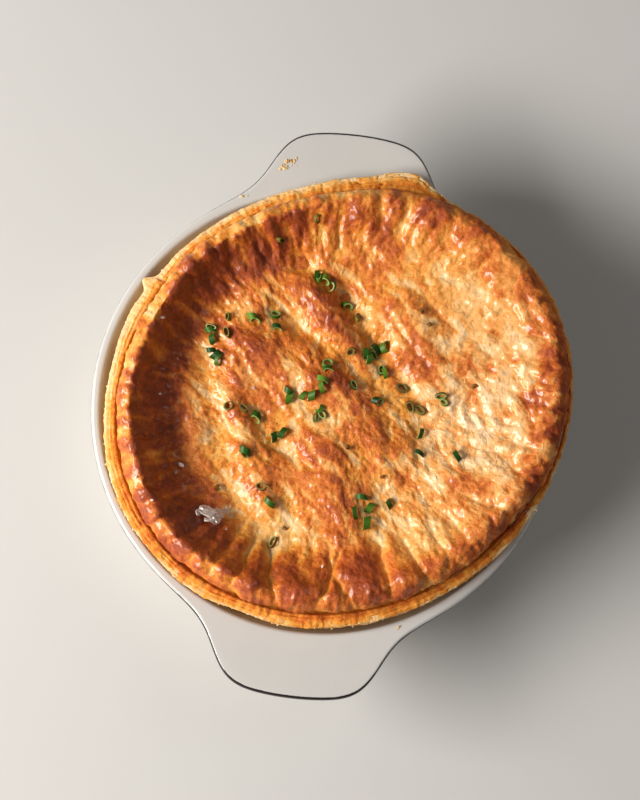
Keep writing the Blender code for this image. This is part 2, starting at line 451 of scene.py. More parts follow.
def pastryMaterial(name, coat):
    material, tree, shader, place = newMaterial(name)
    tone = attributeField(tree, "browning")
    skin = attributeField(tree, "thinSkin")
    patchScale, patchTone = pastryLook["patches"]
    fleckScale, fleckTone = pastryLook["flecks"]
    poreScale, poreTone = pastryLook["pores"]
    blisterScale, blisterTone = pastryLook["blisters"]
    flakeScale, flakeTone = pastryLook["flakes"]
    lineScale, lineTone = pastryLook["lines"]
    patches = noiseField(tree, place, patchScale, 3, 0.6)
    flecks = noiseField(tree, place, fleckScale, 3, 0.7)
    pores = noiseField(tree, place, poreScale, 2, 0.6)
    inputs = {"Vector": place, "Scale": blisterScale}
    cells = addNode(tree, "ShaderNodeTexVoronoi", inputs, feature="SMOOTH_F1")
    dome = Wire(tree, cells.outputs["Distance"])
    # squiggling lines where a soft noise passes its middle value
    wander = noiseField(tree, place, lineScale, 1.5, 0.5)
    near = (wander - 0.5).math("ABSOLUTE")
    line = remap(tree, near, 0.0, 0.06, 1.0, 0.0) * (skin * 0.7 + 0.3)
    # the darker it is baked, the evener its colour
    speckled = (tone.math("MULTIPLY", -0.7) + 1.15) * (skin * -0.60 + 1)
    tone = tone + (patches - 0.5) * patchTone - (dome - 0.4) * blisterTone
    tone = tone + ((flecks - 0.5) * fleckTone + (pores - 0.5) * poreTone) * speckled
    flaked = remap(tree, noiseField(tree, place, flakeScale, 4, 0.75), 0.56, 0.66)
    # painted glints: the squiggling lines are made paler
    tone = tone - flaked * flakeTone * speckled - line * lineTone
    colour = colourRamp(tree, tone, pastryLook["stops"])
    # thin skin is paler where it isn't browned; on the crinkled right side this paleness is partly painted
    # sheen
    pale = skin * (tone.math("MULTIPLY", -0.9) + 0.53).math("MAXIMUM", 0.0)
    colour = mixColour(tree, pale, colour, pastryLook["thin"])
    plug(tree, shader.inputs["Base Color"], colour)
    glaze = pastryLook["glaze"]
    bare = attributeField(tree, "unglazed")
    rough = remap(tree, flecks, 0.3, 0.7, glaze - 0.04, glaze + 0.16)
    rough = rough + bare * (pastryLook["bare"] - glaze)
    plug(tree, shader.inputs["Roughness"], rough)
    crumple = noiseField(tree, place, pastryLook["crumple"], 4, 0.75)
    height = (crumple + pores * 0.3) * pastryLook["grainHeight"]
    height = height - dome * dome * pastryLook["blisterHeight"] + line * pastryLook["lineHeight"]
    bumpInto(tree, shader, height, 1.0, 1.0)
    if coat:
        plug(tree, shader.inputs["Coat Weight"], (bare * -1 + 1) * (skin * (0.3 * coat) + coat))
        shader.inputs["Coat Roughness"].default_value = pastryLook["coatRoughness"]
    shader.inputs["Specular IOR Level"].default_value = pastryLook["specular"]
    shader.inputs["Subsurface Weight"].default_value = pastryLook["glow"]
    shader.inputs["Subsurface Radius"].default_value = pastryLook["glowReach"]
    shader.inputs["Subsurface Scale"].default_value = pastryLook["glowDepth"] * mm
    return material


leafLook = {
    "stops": [
        (0.00, (0.92, 0.71, 0.42)),
        (0.35, (0.88, 0.52, 0.20)),
        (0.65, (0.76, 0.30, 0.060)),
        (1.00, (0.36, 0.10, 0.018)),
    ],
    "streaks": (300, 0.9),  # scale and strength in the colour
    "fibres": (1300, 0.4),
    "roughness": (0.42, 0.66),
}


def leafMaterial():
    material, tree, shader, place = newMaterial("pastryLeaves")
    # the front baked a little darker
    front = remap(tree, splitVector(tree, place)[1], -0.035, -0.07, 0.0, 0.22)
    leaf = attributeField(tree, "leafShare")
    streakScale, streakTone = leafLook["streaks"]
    fibreScale, fibreTone = leafLook["fibres"]
    streaks = noiseField(tree, place, streakScale, 3, 0.6)
    fibres = noiseField(tree, place, fibreScale, 3, 0.6)
    tone = front + leaf * 0.10 + (streaks - 0.5) * streakTone + (fibres - 0.5) * fibreTone + 0.06
    plug(tree, shader.inputs["Base Color"], colourRamp(tree, tone, leafLook["stops"]))
    plug(tree, shader.inputs["Roughness"], remap(tree, fibres, 0.3, 0.7, *leafLook["roughness"]))
    bumpInto(tree, shader, fibres, 0.9, 0.35)
    return material


enamelLook = {
    "white": (0.62, 0.605, 0.585),
    "cloud": (0.64, 0.62, 0.595),  # the white drifts between these two
    "speck": (0.45, 0.40, 0.36),
    "edge": (0.018, 0.012, 0.012),
    "baked": (0.74, 0.60, 0.42),  # painted warm bounce light from the crust, on the inside of the wall
    "roughness": (0.13, 0.22),
    "coat": 0.4,
    "coatRoughness": 0.06,
}


def enamelMaterial():
    material, tree, shader, place = newMaterial("whiteEnamel")
    cloud = noiseField(tree, place, 45, 2, 0.5)
    speck = noiseField(tree, place, 900, 2, 0.5)
    white = mixColour(tree, remap(tree, cloud, 0.35, 0.65), enamelLook["white"], enamelLook["cloud"])
    white = mixColour(tree, remap(tree, speck, 0.72, 0.78, 0.0, 0.35), white, enamelLook["speck"])
    uneven = remap(tree, noiseField(tree, place, 120, 3), 0.2, 0.6, 0.2, 0.6)
    # painted bounce light: the upper inside wall takes the crust's warm colour
    paintedBounce = attributeField(tree, "insideWall") * uneven
    white = mixColour(tree, paintedBounce, white, enamelLook["baked"])
    # the enamel thins to a dark line at the edge, more so on the tabs
    onTab = remap(tree, splitVector(tree, place)[1].math("ABSOLUTE"), 0.062, 0.090)
    wavering = (noiseField(tree, place, 400, 2) - 0.5) * 0.2
    thinned = attributeField(tree, "edgeBand") + onTab * 0.5 + wavering
    colour = mixColour(tree, remap(tree, thinned, 0.84, 0.94), white, enamelLook["edge"])
    plug(tree, shader.inputs["Base Color"], colour)
    plug(tree, shader.inputs["Roughness"], remap(tree, cloud, 0.3, 0.7, *enamelLook["roughness"]))
    bumpInto(tree, shader, noiseField(tree, place, 130, 2), 0.25, 0.12)
    shader.inputs["Coat Weight"].default_value = enamelLook["coat"]
    shader.inputs["Coat Roughness"].default_value = enamelLook["coatRoughness"]
    return material


fillingLook = {
    "stops": [(0.3, (0.34, 0.14, 0.04)), (0.5, (0.62, 0.36, 0.14)), (0.72, (0.78, 0.60, 0.34))],
    "lumps": 180,
    "roughness": (0.3, 0.55),
}


def fillingMaterial():
    material, tree, shader, place = newMaterial("creamyFilling")
    lumps = noiseField(tree, place, fillingLook["lumps"], 4, 0.6)
    plug(tree, shader.inputs["Base Color"], colourRamp(tree, lumps, fillingLook["stops"]))
    plug(tree, shader.inputs["Roughness"], remap(tree, lumps, 0.3, 0.7, *fillingLook["roughness"]))
    bumpInto(tree, shader, lumps, 0.8, 0.8)
    return material


chiveLook = {
    "stops": [(0.0, (0.008, 0.034, 0.005)), (0.5, (0.028, 0.105, 0.009)), (1.0, (0.14, 0.27, 0.022))],
    "fibres": 1500,
    # attribute, how far it covers the skin's green, and its colour
    "layers": [
        ("inside", 0.7, (0.34, 0.42, 0.12)),
        ("cutFace", 0.55, (0.36, 0.52, 0.16)),
        ("dried", 1.0, (0.22, 0.095, 0.018)),
    ],
    "roughness": (0.28, 0.46),
    "specular": 0.26,
}


def chiveMaterial():
    material, tree, shader, place = newMaterial("choppedChive")
    tone = attributeField(tree, "shade")
    fibres = noiseField(tree, place, chiveLook["fibres"], 2, 0.6)
    colour = colourRamp(tree, tone + (fibres - 0.5) * 0.4, chiveLook["stops"])
    for name, share, paint in chiveLook["layers"]:
        colour = mixColour(tree, attributeField(tree, name) * share, colour, paint)
    plug(tree, shader.inputs["Base Color"], colour)
    plug(tree, shader.inputs["Roughness"], remap(tree, fibres, 0.3, 0.7, *chiveLook["roughness"]))
    shader.inputs["Specular IOR Level"].default_value = chiveLook["specular"]
    bumpInto(tree, shader, fibres, 0.6, 0.12)
    return material


saltLook = {
    "stops": [(0.3, (1.0, 0.85, 0.78)), (0.7, (1.0, 0.94, 0.90))],
    "frost": 700,
    "roughness": (0.12, 0.35),
    "clear": 0.35,  # how much light goes straight through
    "bending": 1.54,  # index of refraction
}


def saltMaterial():
    material, tree, shader, place = newMaterial("saltFlake")
    frost = noiseField(tree, place, saltLook["frost"], 3, 0.6)
    plug(tree, shader.inputs["Base Color"], colourRamp(tree, frost, saltLook["stops"]))
    plug(tree, shader.inputs["Roughness"], remap(tree, frost, 0.3, 0.7, *saltLook["roughness"]))
    shader.inputs["Transmission Weight"].default_value = saltLook["clear"]
    shader.inputs["IOR"].default_value = saltLook["bending"]
    bumpInto(tree, shader, frost, 0.6, 0.15)
    return material


crumbLook = {
    "stops": [(0.35, (0.66, 0.37, 0.10)), (0.65, (0.85, 0.64, 0.34))],
    "mottle": 420,
    "grain": 2200,
    "roughness": (0.5, 0.7),
}


def crumbMaterial():
    material, tree, shader, place = newMaterial("pastryCrumb")
    mottle = noiseField(tree, place, crumbLook["mottle"], 2)
    plug(tree, shader.inputs["Base Color"], colourRamp(tree, mottle, crumbLook["stops"]))
    plug(tree, shader.inputs["Roughness"], remap(tree, mottle, 0.3, 0.7, *crumbLook["roughness"]))
    bumpInto(tree, shader, noiseField(tree, place, crumbLook["grain"], 2), 0.6, 0.1)
    return material


# The dish: one profile turned about Z, its rim drawn out into two tabs

dish = {
    "rimWidth": 3.2,
    "rimLip": 0.6,
    "rimThickness": 4.2,
    "rimRounding": 1.5,
    "underRounding": (0.6, 1.0),  # under the rim: at the wall, at the edge
    "footRounding": 9.0,
    "floorThickness": 4.0,
    "floorRounding": 7.5,
    "outerLean": radians(13),
    "innerLean": radians(15),
    "tabHalfAngle": radians(18.6),
    "tabSharpness": 6.1,
    "segments": 720,
    "rowSpacing": 3.0,
    "edgeBand": 1.7,  # how far in from the rounded edge the enamel may thin to a dark line
    "wobble": 0.10,
}


def unit(x, y):
    size = hypot(x, y)
    return x / size, y / size


def roundedProfile(corners):
    # Points (r, z, onTab) with each corner (r, z, radius, steps, onTab) turned into an arc
    points = []
    for i, (r, z, radius, steps, onTab) in enumerate(corners):
        if not radius:
            points.append((r, z, onTab))
            continue
        u = unit(corners[i - 1][0] - r, corners[i - 1][1] - z)
        v = unit(corners[i + 1][0] - r, corners[i + 1][1] - z)
        half = acos(u[0] * v[0] + u[1] * v[1]) / 2
        reach = radius / tan(half)
        middle = unit(u[0] + v[0], u[1] + v[1])
        centre = (r + middle[0] * radius / sin(half), z + middle[1] * radius / sin(half))
        first = atan2(z + u[1] * reach - centre[1], r + u[0] * reach - centre[0])
        last = atan2(z + v[1] * reach - centre[1], r + v[0] * reach - centre[0])
        sweep = (last - first + pi) % (2 * pi) - pi
        for k in range(steps + 1):
            a = first + sweep * k / steps
            points.append((centre[0] + radius * cos(a), centre[1] + radius * sin(a), onTab))
    return points


def fillLongRuns(points, spacing):
    # Adds points along straight runs, with onTab changing evenly from end to end
    result = [points[0]]
    for a, b in zip(points, points[1:]):
        run = hypot(b[0] - a[0], b[1] - a[1]) + abs(b[2] - a[2]) * tabReach
        steps = max(1, round(run / spacing))
        result += [tuple(p + (q - p) * k / steps for p, q in zip(a, b)) for k in range(1, steps + 1)]
    return result


def innerRadius(z):
    return rimRadius - dish["rimWidth"] - (rimHeight - z) * tan(dish["innerLean"])


def outerRadius(z):
    return rimRadius - dish["rimLip"] - (rimHeight - z) * tan(dish["outerLean"])


def dishProfile():
    under = rimHeight - dish["rimThickness"]
    floor = dish["floorThickness"]
    atWall, atEdge = dish["underRounding"]
    top = dish["rimRounding"]
    corners = [
        (0, 0, 0, 0, 0),
        (outerRadius(0), 0, dish["footRounding"], 10, 0),
        (outerRadius(under), under, atWall, 5, 0),
        (rimRadius, under, atEdge, 7, 1),
        (rimRadius, rimHeight, top, 12, 1),
        (rimRadius - dish["rimWidth"], rimHeight, top, 10, 0),
        (innerRadius(floor), floor, dish["floorRounding"], 10, 0),
        (0, floor, 0, 0, 0),
    ]
    return fillLongRuns(roundedProfile(corners), dish["rowSpacing"])


def latheGrid(tree, profile, rows, around):
    # A grid whose rows follow the profile mesh: gives the grid, its turn and a profile reader
    columns = around + 1
    grid = addNode(tree, "GeometryNodeMeshGrid", {"Vertices X": columns, "Vertices Y": rows})
    x, y = splitVector(tree, positionHere(tree))[:2]
    row = ((y + 0.5) * (rows - 1)).math("ROUND")
    turn = (x + 0.5) * (2 * pi)

    def read(name, kind="FLOAT"):
        value = positionHere(tree) if name == "position" else namedValue(tree, name, kind)
        return sampleAt(tree, profile, value, row, kind)

    return Wire(tree, grid.outputs["Mesh"]), turn, read


def dishTree():
    sockets = {
        "Tab Reach": "Float",
        "Tab Half Angle": "Float",
        "Tab Sharpness": "Float",
        "Around": "Int",
        "Rows": "Int",
        "Wobble": "Float",
        "Enamel": "Material",
    }
    tree, given = newTree("dishTurnedWithTabs", sockets)
    grid, turn, read = latheGrid(tree, given["Geometry"], given["Rows"], given["Around"])
    r, z = splitVector(tree, read("position", "FLOAT_VECTOR"))[::2]
    geometry = keepValue(tree, grid, "edgeBand", read("edgeBand"))
    geometry = keepValue(tree, geometry, "insideWall", read("insideWall"))
    offAxis = turn.math("COSINE").math("ABSOLUTE").math("ARCSINE")
    reach = given["Tab Reach"] / ((offAxis / given["Tab Half Angle"]) ** given["Tab Sharpness"] + 1.0)
    radius = r + read("onTab") * reach
    place = joinVector(tree, radius * turn.math("COSINE"), radius * turn.math("SINE"), z)
    geometry = weld(tree, moveTo(tree, geometry, place))
    # cast iron is never quite even, but its base stands flat
    here = positionHere(tree)
    height = splitVector(tree, here)[2]
    lift = (noiseField(tree, here, 38, 1) - 0.5) * given["Wobble"] * height / (rimHeight * mm)
    normal = addNode(tree, "GeometryNodeInputNormal").outputs[0]
    geometry = moveBy(tree, geometry, scaleVector(tree, normal, lift))
    endTree(tree, geometry, given["Enamel"])
    return tree


def buildDish():
    profile = dishProfile()
    points = [(r * mm, 0, z * mm) for r, z, onTab in profile]
    edges = [(i, i + 1) for i in range(len(points) - 1)]
    band = []
    paintedBounce = []
    for r, z, onTab in profile:
        inward = rimRadius - r + (1 - onTab) * 10
        band.append(max(0.0, 1 - inward / dish["edgeBand"]))
        inside = r < rimRadius - dish["rimWidth"] + 0.2 and z > dish["floorThickness"] - 1
        # where the painted bounce light from the crust lies on the inside wall
        paintedBounce.append(float(inside) * smooth((rimHeight - 1.2 - z) / 1.5))
    onTab = [p[2] for p in profile]
    mesh = pointMesh("dishProfile", points, edges, onTab=onTab, edgeBand=band, insideWall=paintedBounce)
    values = {
        "Tab Reach": tabReach * mm,
        "Tab Half Angle": dish["tabHalfAngle"],
        "Tab Sharpness": dish["tabSharpness"],
        "Around": dish["segments"],
        "Rows": len(points),
        "Wobble": dish["wobble"] * mm,
        "Enamel": enamelMaterial(),
    }
    return growPiece("enamelDish", dishTree(), mesh, values)


# The pastry lid: macro shape first, then relief along its normals

lid = {
    "centre": (4.5, 3.0),
    "edge": 78.2,  # radius of the lowest pastry layer
    "edgeOval": (3.2, radians(43)),
    "brown": 74.2,  # radius of the browned top sheet
    "brownShift": (1.35, radians(14)),
    "brownOval": (3.9, radians(37)),
    "shoulder": 7.5,  # width of the rounded outer shoulder
    "ridgeInset": (5.0, 5.2),  # from the sheet's edge in to the ridge: left, right
    "crestHeight": 14.6,
    "crestRounding": 2.6,
    "shoulderDrop": 7.2,
    "shoulderRows": 16,
    "footRadius": (39.0, 13.0),
    "floorHeight": 2.2,
    "thickness": 2.0,
    "roundedLip": ((0.05, 0.3), (0.15, 0.8), (0.35, 1.4), (0.8, 1.9), (1.6, 2.2)),  # inwards, down
    "washEnd": (2.2, 3.5, 2.6),  # how far in the egg wash ends, how much further at the right, its fade
    "around": 832,
    "spacing": 0.58,
}

# Where an outline bulges or draws in: angle and half width in degrees, amount in millimetres
edgeBulges = [
    (77.5, 5, 4.2), (84, 5, 2.4), (94, 5, 0.9), (112, 22, -0.7), (155, 1.7, 3.2), (165, 8, 0.9),
    (32, 22, -1.1), (56, 12, -1.6), (210, 16, 1.1), (238, 8, 0.7), (252, 7, -0.8), (300, 14, -0.4),
]  # fmt: skip
sheetBulges = [
    (104, 14, -1.0), (326, 12, -1.0), (338, 6, -0.5), (230, 8, 0.4), (142, 14, 0.9), (75, 9, 0.8),
]  # fmt: skip

# Pinched pleats round the sheet: angle, depth (mm), turn over 10 mm towards the middle (degrees)
pleatLines = [
    (22.5, 1.0, 4), (48, 1.3, 3), (63, 0.8, -2), (76, 0.9, 2), (84, 1.0, -2), (95, 1.1, 1), (100.5, 0.9, 2),
    (106, 0.8, -1), (111.5, 1.2, 1), (121.5, 1.2, 2), (131, 1.2, 3), (136.5, 0.9, 2), (142, 0.9, 2),
    (148, 0.8, 3), (157.5, 1.6, 4), (171, 0.7, 1), (179, 0.6, -1), (188, 0.7, 2), (197, 0.7, 1),
    (203.5, 1.0, 1), (212, 1.0, 0), (217, 0.8, 1), (222, 0.8, -1), (229.5, 1.2, 1), (235, 1.0, 0),
    (240.5, 1.2, -1), (247, 2.0, -1), (258, 2.2, -4), (271, 1.7, 3), (279, 1.7, -4), (290.5, 2.0, 1),
    (301, 2.0, -1), (308, 0.9, 2), (318, 1.2, 0), (331, 1.2, -2), (342, 0.7, 2), (352, 0.7, 0),
]  # fmt: skip

# Folds of the sunken middle: start, end, half width, height (a valley's is negative)
folds = {
    "leftMound": ((-30, 17), (-6, 10), 10, 3.4),
    "backMound": ((-9, 41), (-1, 27), 8, 3.2),
    "backLeftMound": ((-30, 40), (-24, 33), 8, 2.4),
    "frontMound": ((3, -18), (10, -42), 10, 3.6),
    "middleRidge": ((4, 4), (24, -16), 9, 2.8),
    "puffedRight": ((22, 38), (38, 16), 10, 2.9),
    "sideBlister": ((-33, -1), (-28, -7), 5, 2.4),
    "frontLeftRidge": ((-26, -14), (-16, -34), 6, 2.0),
    "rightBlister": ((46, -20), (52, -26), 7, 2.0),
    "backCrease": ((-13, 49), (2, 39), 3.5, -2.6),
    "longCrease": ((2, 39), (15, 25), 4, -1.9),
    "creaseEnd": ((15, 25), (27, 10), 4, -1.5),
    "mossValley": ((-20, 31), (-2, 20), 3.5, -2.2),
    "leftValley": ((-41, 8), (-33, -12), 5, -1.8),
    "middleValley": ((-25, -3), (-9, -18), 4.5, -1.5),
    "lowValley": ((-30, -30), (-12, -47), 6, -1.6),
    "rightValley": ((33, 6), (36, -18), 4.5, -1.0),
    "farRightValley": ((47, 8), (52, -10), 7, -0.4),
}

# Where the lid is browner (positive) or paler: x, y, radius, amount. Most are where the oven browned it;
# the front left crest and slope also hold painted shade.
ovenPatches = {
    "backCrest": (4, 66, 13, 0.02),
    "backSpot": (14, 54, 8, 0.18),
    "backLeftCrest": (-17, 59, 9, 0.20),
    "leftBackSlope": (-36, 46, 14, 0.16),
    "backRightCrest": (38, 64, 14, 0.05),
    "backCreaseEdge": (8, 44, 6, 0.12),
    "mound": (0, 30, 6, 0.24),
    "moundTop": (-9, 38, 6, 0.14),
    "leftMound": (-23, 15, 8, 0.10),
    "rightSpot": (30, 22, 7, 0.16),
    "rightEdge": (76, 20, 13, 0.16),
    "frontRightCrest": (58, -40, 9, 0.08),
    "rightBlister": (48, -23, 8, 0.20),
    "frontMound": (8, -34, 8, 0.18),
    "frontPleat": (20, -56, 10, 0.24),
    "frontCrest": (-6, -64, 12, 0.22),
    # browning on the front left crest, with painted shade over it
    "frontLeftCrestAndShade": (-42, -50, 16, 0.27),
    "leftCrest": (-58, -8, 22, 0.23),
    "backLeftSide": (-56, 34, 14, 0.14),
    "sideBlister": (-31, -3, 5, 0.10),
    "longCreasePale": (9, 31, 5, -0.30),
    "backCreasePale": (-8, 45, 4, -0.24),
    "mossPale": (-16, 28, 5, -0.22),
    "mossEndPale": (-3, 20, 4, -0.14),
    "leftPale": (-41, 4, 6, -0.26),
    "lowerLeftPale": (-37, -12, 7, -0.16),
    "middlePale": (-16, -12, 6, -0.22),
    "frontLeftPale": (-25, -38, 9, -0.24),
    "lowPale": (-12, -46, 7, -0.26),
    "frontPale": (22, -40, 6, -0.16),
    "rightPale": (34, -4, 6, -0.16),
    "farRightPale": (54, -8, 13, -0.10),
    "rightCrestSpot": (59, 15, 6, 0.12),
    # painted shade on the front left inner slope
    "frontLeftSlopeShade": (-36, -38, 12, 0.14),
    "upperRightPale": (42, 42, 10, -0.12),
    "lowerRightPale": (38, -40, 8, -0.14),
    "chivePale": (-8, -2, 5, -0.10),
    "leftFloor": (-30, 4, 20, 0.10),
    "frontFloor": (-14, -24, 16, 0.06),
    "backFloor": (2, 24, 20, 0.09),
}


def sector(angle, middle, wide):
    return np.exp(-((turnFrom(angle, middle) / wide) ** 2))


def bulge(angle, bulges):
    return sum(size * sector(angle, radians(at), radians(wide)) for at, wide, size in bulges)


def edgeRadius(angle):
    oval, ovalTurn = lid["edgeOval"]
    return lid["edge"] + oval * np.cos(2 * (angle - ovalTurn)) + bulge(angle, edgeBulges)


def brownRadius(angle):
    shift, shiftAt = lid["brownShift"]
    oval, ovalTurn = lid["brownOval"]
    radius = lid["brown"] + shift * np.cos(angle - shiftAt) + oval * np.cos(2 * (angle - ovalTurn))
    return radius + bulge(angle, sheetBulges)


def shoulderRadius(angle):
    return brownRadius(angle) - lid["shoulder"]


def footRadius(angle):
    radius, shift = lid["footRadius"]
    return radius - shift * np.cos(angle) + 3.5 * sector(angle, radians(228), radians(32))


def foldHeight(x, y):
    total = np.zeros_like(x)
    for (x0, y0), (x1, y1), halfWidth, height in folds.values():
        length = hypot(x1 - x0, y1 - y0)
        ux, uy = unit(x1 - x0, y1 - y0)
        along = np.clip((x - x0) * ux + (y - y0) * uy, 0, length)
        off = np.hypot(x - x0 - along * ux, y - y0 - along * uy)
        total += height * np.exp(-((off / halfWidth) ** 2))
    return total


def crestLift(angle):
    # The wall stands a little higher at the front left and waves round the rest
    return 0.9 * np.cos(angle - radians(215)) + 0.35 * np.sin(3 * angle + 0.6)


def lowerOf(a, b, blend):
    # The lower of two heights, rounded where they cross
    mix = np.clip(0.5 + 0.5 * (b - a) / blend, 0, 1)
    return b + (a - b) * mix - blend * mix * (1 - mix)


def onLid(angle, radius):
    # x and y of places given by their turn and distance from the lid's centre
    return lid["centre"][0] + radius * np.cos(angle), lid["centre"][1] + radius * np.sin(angle)


def fromLid(points):
    # The turn and distance of each point from the lid's centre
    dx = points[:, 0] - lid["centre"][0]
    dy = points[:, 1] - lid["centre"][1]
    return np.arctan2(dy, dx), np.hypot(dx, dy)


def lidMiddle():
    # Height of the lid's middle above the table
    return rimHeight + lidHeight(np.array([0.0]), np.array([0.0]))[0]


def lidHeight(angle, rho):
    # Height above the rim of the lid's broad shape: a bowl inside, a rounded shoulder outside
    foot = footRadius(angle)
    brown = brownRadius(angle)
    right = 0.5 + 0.5 * np.cos(angle)
    left, rightInset = lid["ridgeInset"]
    ridge = brown - left - (rightInset - left) * right
    t = np.clip((rho - foot) / (ridge - foot), 0, 1.4)
    steep = 2.0 - 0.45 * right
    climb = t**steep
    x, y = onLid(angle, rho)
    top = lid["crestHeight"] + crestLift(angle)
    bowl = lid["floorHeight"] + (1 - np.minimum(climb, 1)) * foldHeight(x, y)
    bowl = bowl + climb * (top + 0.4 - lid["floorHeight"])
    u = np.clip((rho - brown + lid["shoulder"]) / lid["shoulder"], 0, 1)
    shoulder = top - lid["shoulderDrop"] * (1 - np.sqrt(1 - u * u))
    return lowerOf(bowl, shoulder, lid["crestRounding"])


def lidRing(count, rho, height):
    angle = evenTurn(count)
    r = rho(angle)
    return np.stack([*onLid(angle, r), rimHeight + height(angle, r)], 1)


def ringCount(share):
    count = lid["around"]
    while share < 0.5 and count > 13:
        share *= 2
        count //= 2
    return count


def lidRings():
    # The lid's top from the middle out, round its lip, and back in underneath
    rings = []
    around = lid["around"]
    steps = round(shoulderRadius(0.0) / lid["spacing"])
    for i in range(1, steps + 1):
        share = i / steps
        rings.append(lidRing(ringCount(share), lambda a, s=share: s * shoulderRadius(a), lidHeight))
    rows = lid["shoulderRows"]
    for k in range(1, rows + 1):
        out = sin(k / rows * pi / 2) * lid["shoulder"]
        rings.append(lidRing(around, lambda a, s=out: shoulderRadius(a) + s, lidHeight))
    topCount = sum(len(ring) for ring in rings) + 1
    thickness = lid["thickness"]

    def under(drop):
        return lambda a, r: lidHeight(a, brownRadius(a)) - drop

    deepest = lid["roundedLip"][-1][1]
    for inward, drop in lid["roundedLip"]:
        down = under(drop * thickness / deepest)
        rings.append(lidRing(around, lambda a, s=inward: brownRadius(a) - s, down))

    def underside(a, r):
        return lidHeight(a, r) - 2 * thickness

    for share, count in ((0.93, around), (0.8, around // 2), (0.6, around // 4), (0.3, around // 8)):
        rings.append(lidRing(count, lambda a, s=share: s * brownRadius(a), underside))
    return rings, topCount


def pinch(angle, rho, points):
    # How deep the pleat lines press in, in millimetres, and how near the closest one is
    wiggle = 2.0 * softNoise(points, 11, 13) + 0.6 * softNoise(points, 4, 14)
    depth = np.zeros_like(rho)
    near = np.full_like(rho, 99.0)
    for at, deep, lean in pleatLines:
        line = radians(at) + radians(lean) * (70 - rho) / 10
        off = turnFrom(angle, line) * rho + wiggle * np.sign((angle - line + pi) % (2 * pi) - pi)
        off = np.abs(off)
        depth = np.maximum(depth, deep * np.exp(-off / 2.4))
        near = np.minimum(near, off + (2.2 - deep) * 0.5)
    return depth, near


# Heights (mm) of each kind of relief on the browned sheet, and the size of its features
relief = {
    "swell": (0.9, 11.0),
    "streak": (0.34, 4.6),
    "ribs": (0.8, 6.0),
    "blister": (0.30, 3.4),
    "crinkle": (0.50, 2.3),
    "crumple": (1.0, 5.6),
    "fine": (0.07, 1.3),
    "flute": (0.28, 1.6),
    "dome": 0.36,
    "radius": 68,  # where the pleats' noise is true to size
    "ridge": 0.30,
    "frontTurn": radians(266),  # the broad smooth lobes
    "frontWide": radians(46),
    "skinTurn": radians(356),  # the thin crinkled skin
    "skinWide": radians(55),
}


def drift(points):
    return np.stack([softNoise(points, 12, seed) for seed in (21, 22, 23)], 1)


def drawnOut(points, share):
    # Coordinates in which noise comes out drawn along the diagonal the sheet was rolled in
    across = (points[:, 0] + points[:, 1]) * 0.7
    along = (points[:, 0] - points[:, 1]) * 0.7
    return np.stack([across, share * along, points[:, 2] * 0.6], 1)


def lidRelief(points, angle, rho):
    # Pleats, puffs, blisters and crumples of the browned sheet, in millimetres along its normal
    brown = brownRadius(angle)
    onWall = smooth((rho - brown + 27) / 12)
    onShoulder = smooth((rho - brown + 7) / 3)
    atEdge = smooth((rho - brown + 3.4) / 2.8)
    lobed = sector(angle, relief["frontTurn"], relief["frontWide"]) * smooth((rho - 40) / 12)
    skin = sector(angle, relief["skinTurn"], relief["skinWide"]) * smooth((rho - 22) / 12)
    depth, near = pinch(angle, rho, points)
    pleated = onWall * (1 - 0.5 * atEdge)
    warp = drift(points)
    bent = drawnOut(points, 0.6) + 2.6 * warp
    streaked = drawnOut(points, 0.36) + 1.6 * warp
    radial = wrapRound(angle, relief["radius"], rho * 0.5)

    def puffs(where, kind, seed):
        height, size = relief[kind]
        return (puffNoise(where, size, seed) - 0.45) * height

    swell = puffs(bent, "swell", 31)
    streak = puffs(streaked, "streak", 38) * (1 - onWall) * (1 - 0.6 * skin)
    backLeft = sector(angle, radians(118), radians(55))
    ribs = puffs(radial, "ribs", 36) * onWall * (1 - 0.6 * lobed) * (1 - 0.7 * skin)
    ribs = ribs * (1 + 0.35 * backLeft)
    blisterHeight, blisterSize = relief["blister"]
    blister = (smooth((softNoise(bent, blisterSize, 32) + 0.12) / 0.45) - 0.5) * blisterHeight
    crinkle = puffs(points + 1.8 * warp, "crinkle", 34) * (0.5 - 0.12 * skin) * (1 - 0.3 * lobed)
    crumple = puffs(points + 2.4 * warp, "crumple", 37) * skin
    fineHeight, fineSize = relief["fine"]
    fine = softNoise(points, fineSize, 39) * fineHeight
    fluteHeight, fluteSize = relief["flute"]
    fluted = (0.35 + 0.65 * onShoulder + 0.3 * backLeft * onWall) * (1 + 0.5 * lobed)
    flutes = softNoise(radial, fluteSize, 35) * fluteHeight * fluted
    domes = bubbles(points + warp, 3.2, 41, 0.5) + 0.6 * bubbles(points, 2.1, 42, 0.6)
    domes = domes * (1 - 0.6 * skin)
    # thin squiggling ridges where a soft noise changes sign
    ridges = np.exp(-((softNoise(points + 2.2 * warp, 3.6, 46) / 0.11) ** 2)) * (0.15 + 0.65 * skin)
    pleat = ribs - depth * pleated
    small = blister + crinkle + crumple + flutes + relief["dome"] * domes + relief["ridge"] * ridges
    lobes = 0.9 * lobed * smooth((rho - brown + 22) / 6) * (1 - np.exp(-near / 3.2))
    height = (pleat + lobes + swell + streak) * (1 - 0.5 * atEdge) + small * (1 - 0.2 * atEdge) + fine
    crease = np.exp(-((near / 1.4) ** 2)) * pleated
    swelling = swell + 1.2 * streak + 1.3 * blister + 0.8 * crinkle + 0.9 * crumple + flutes
    # the rest browned on its swellings; on the thin skin the swellings are painted paler and the hollows
    # browner as painted sheen, and the thin ridges are painted pale as painted glints
    swelling = swelling * (1 - 2.3 * skin) - 0.9 * ridges
    return height, ribs - crease * (1 + lobed), swelling, domes, skin


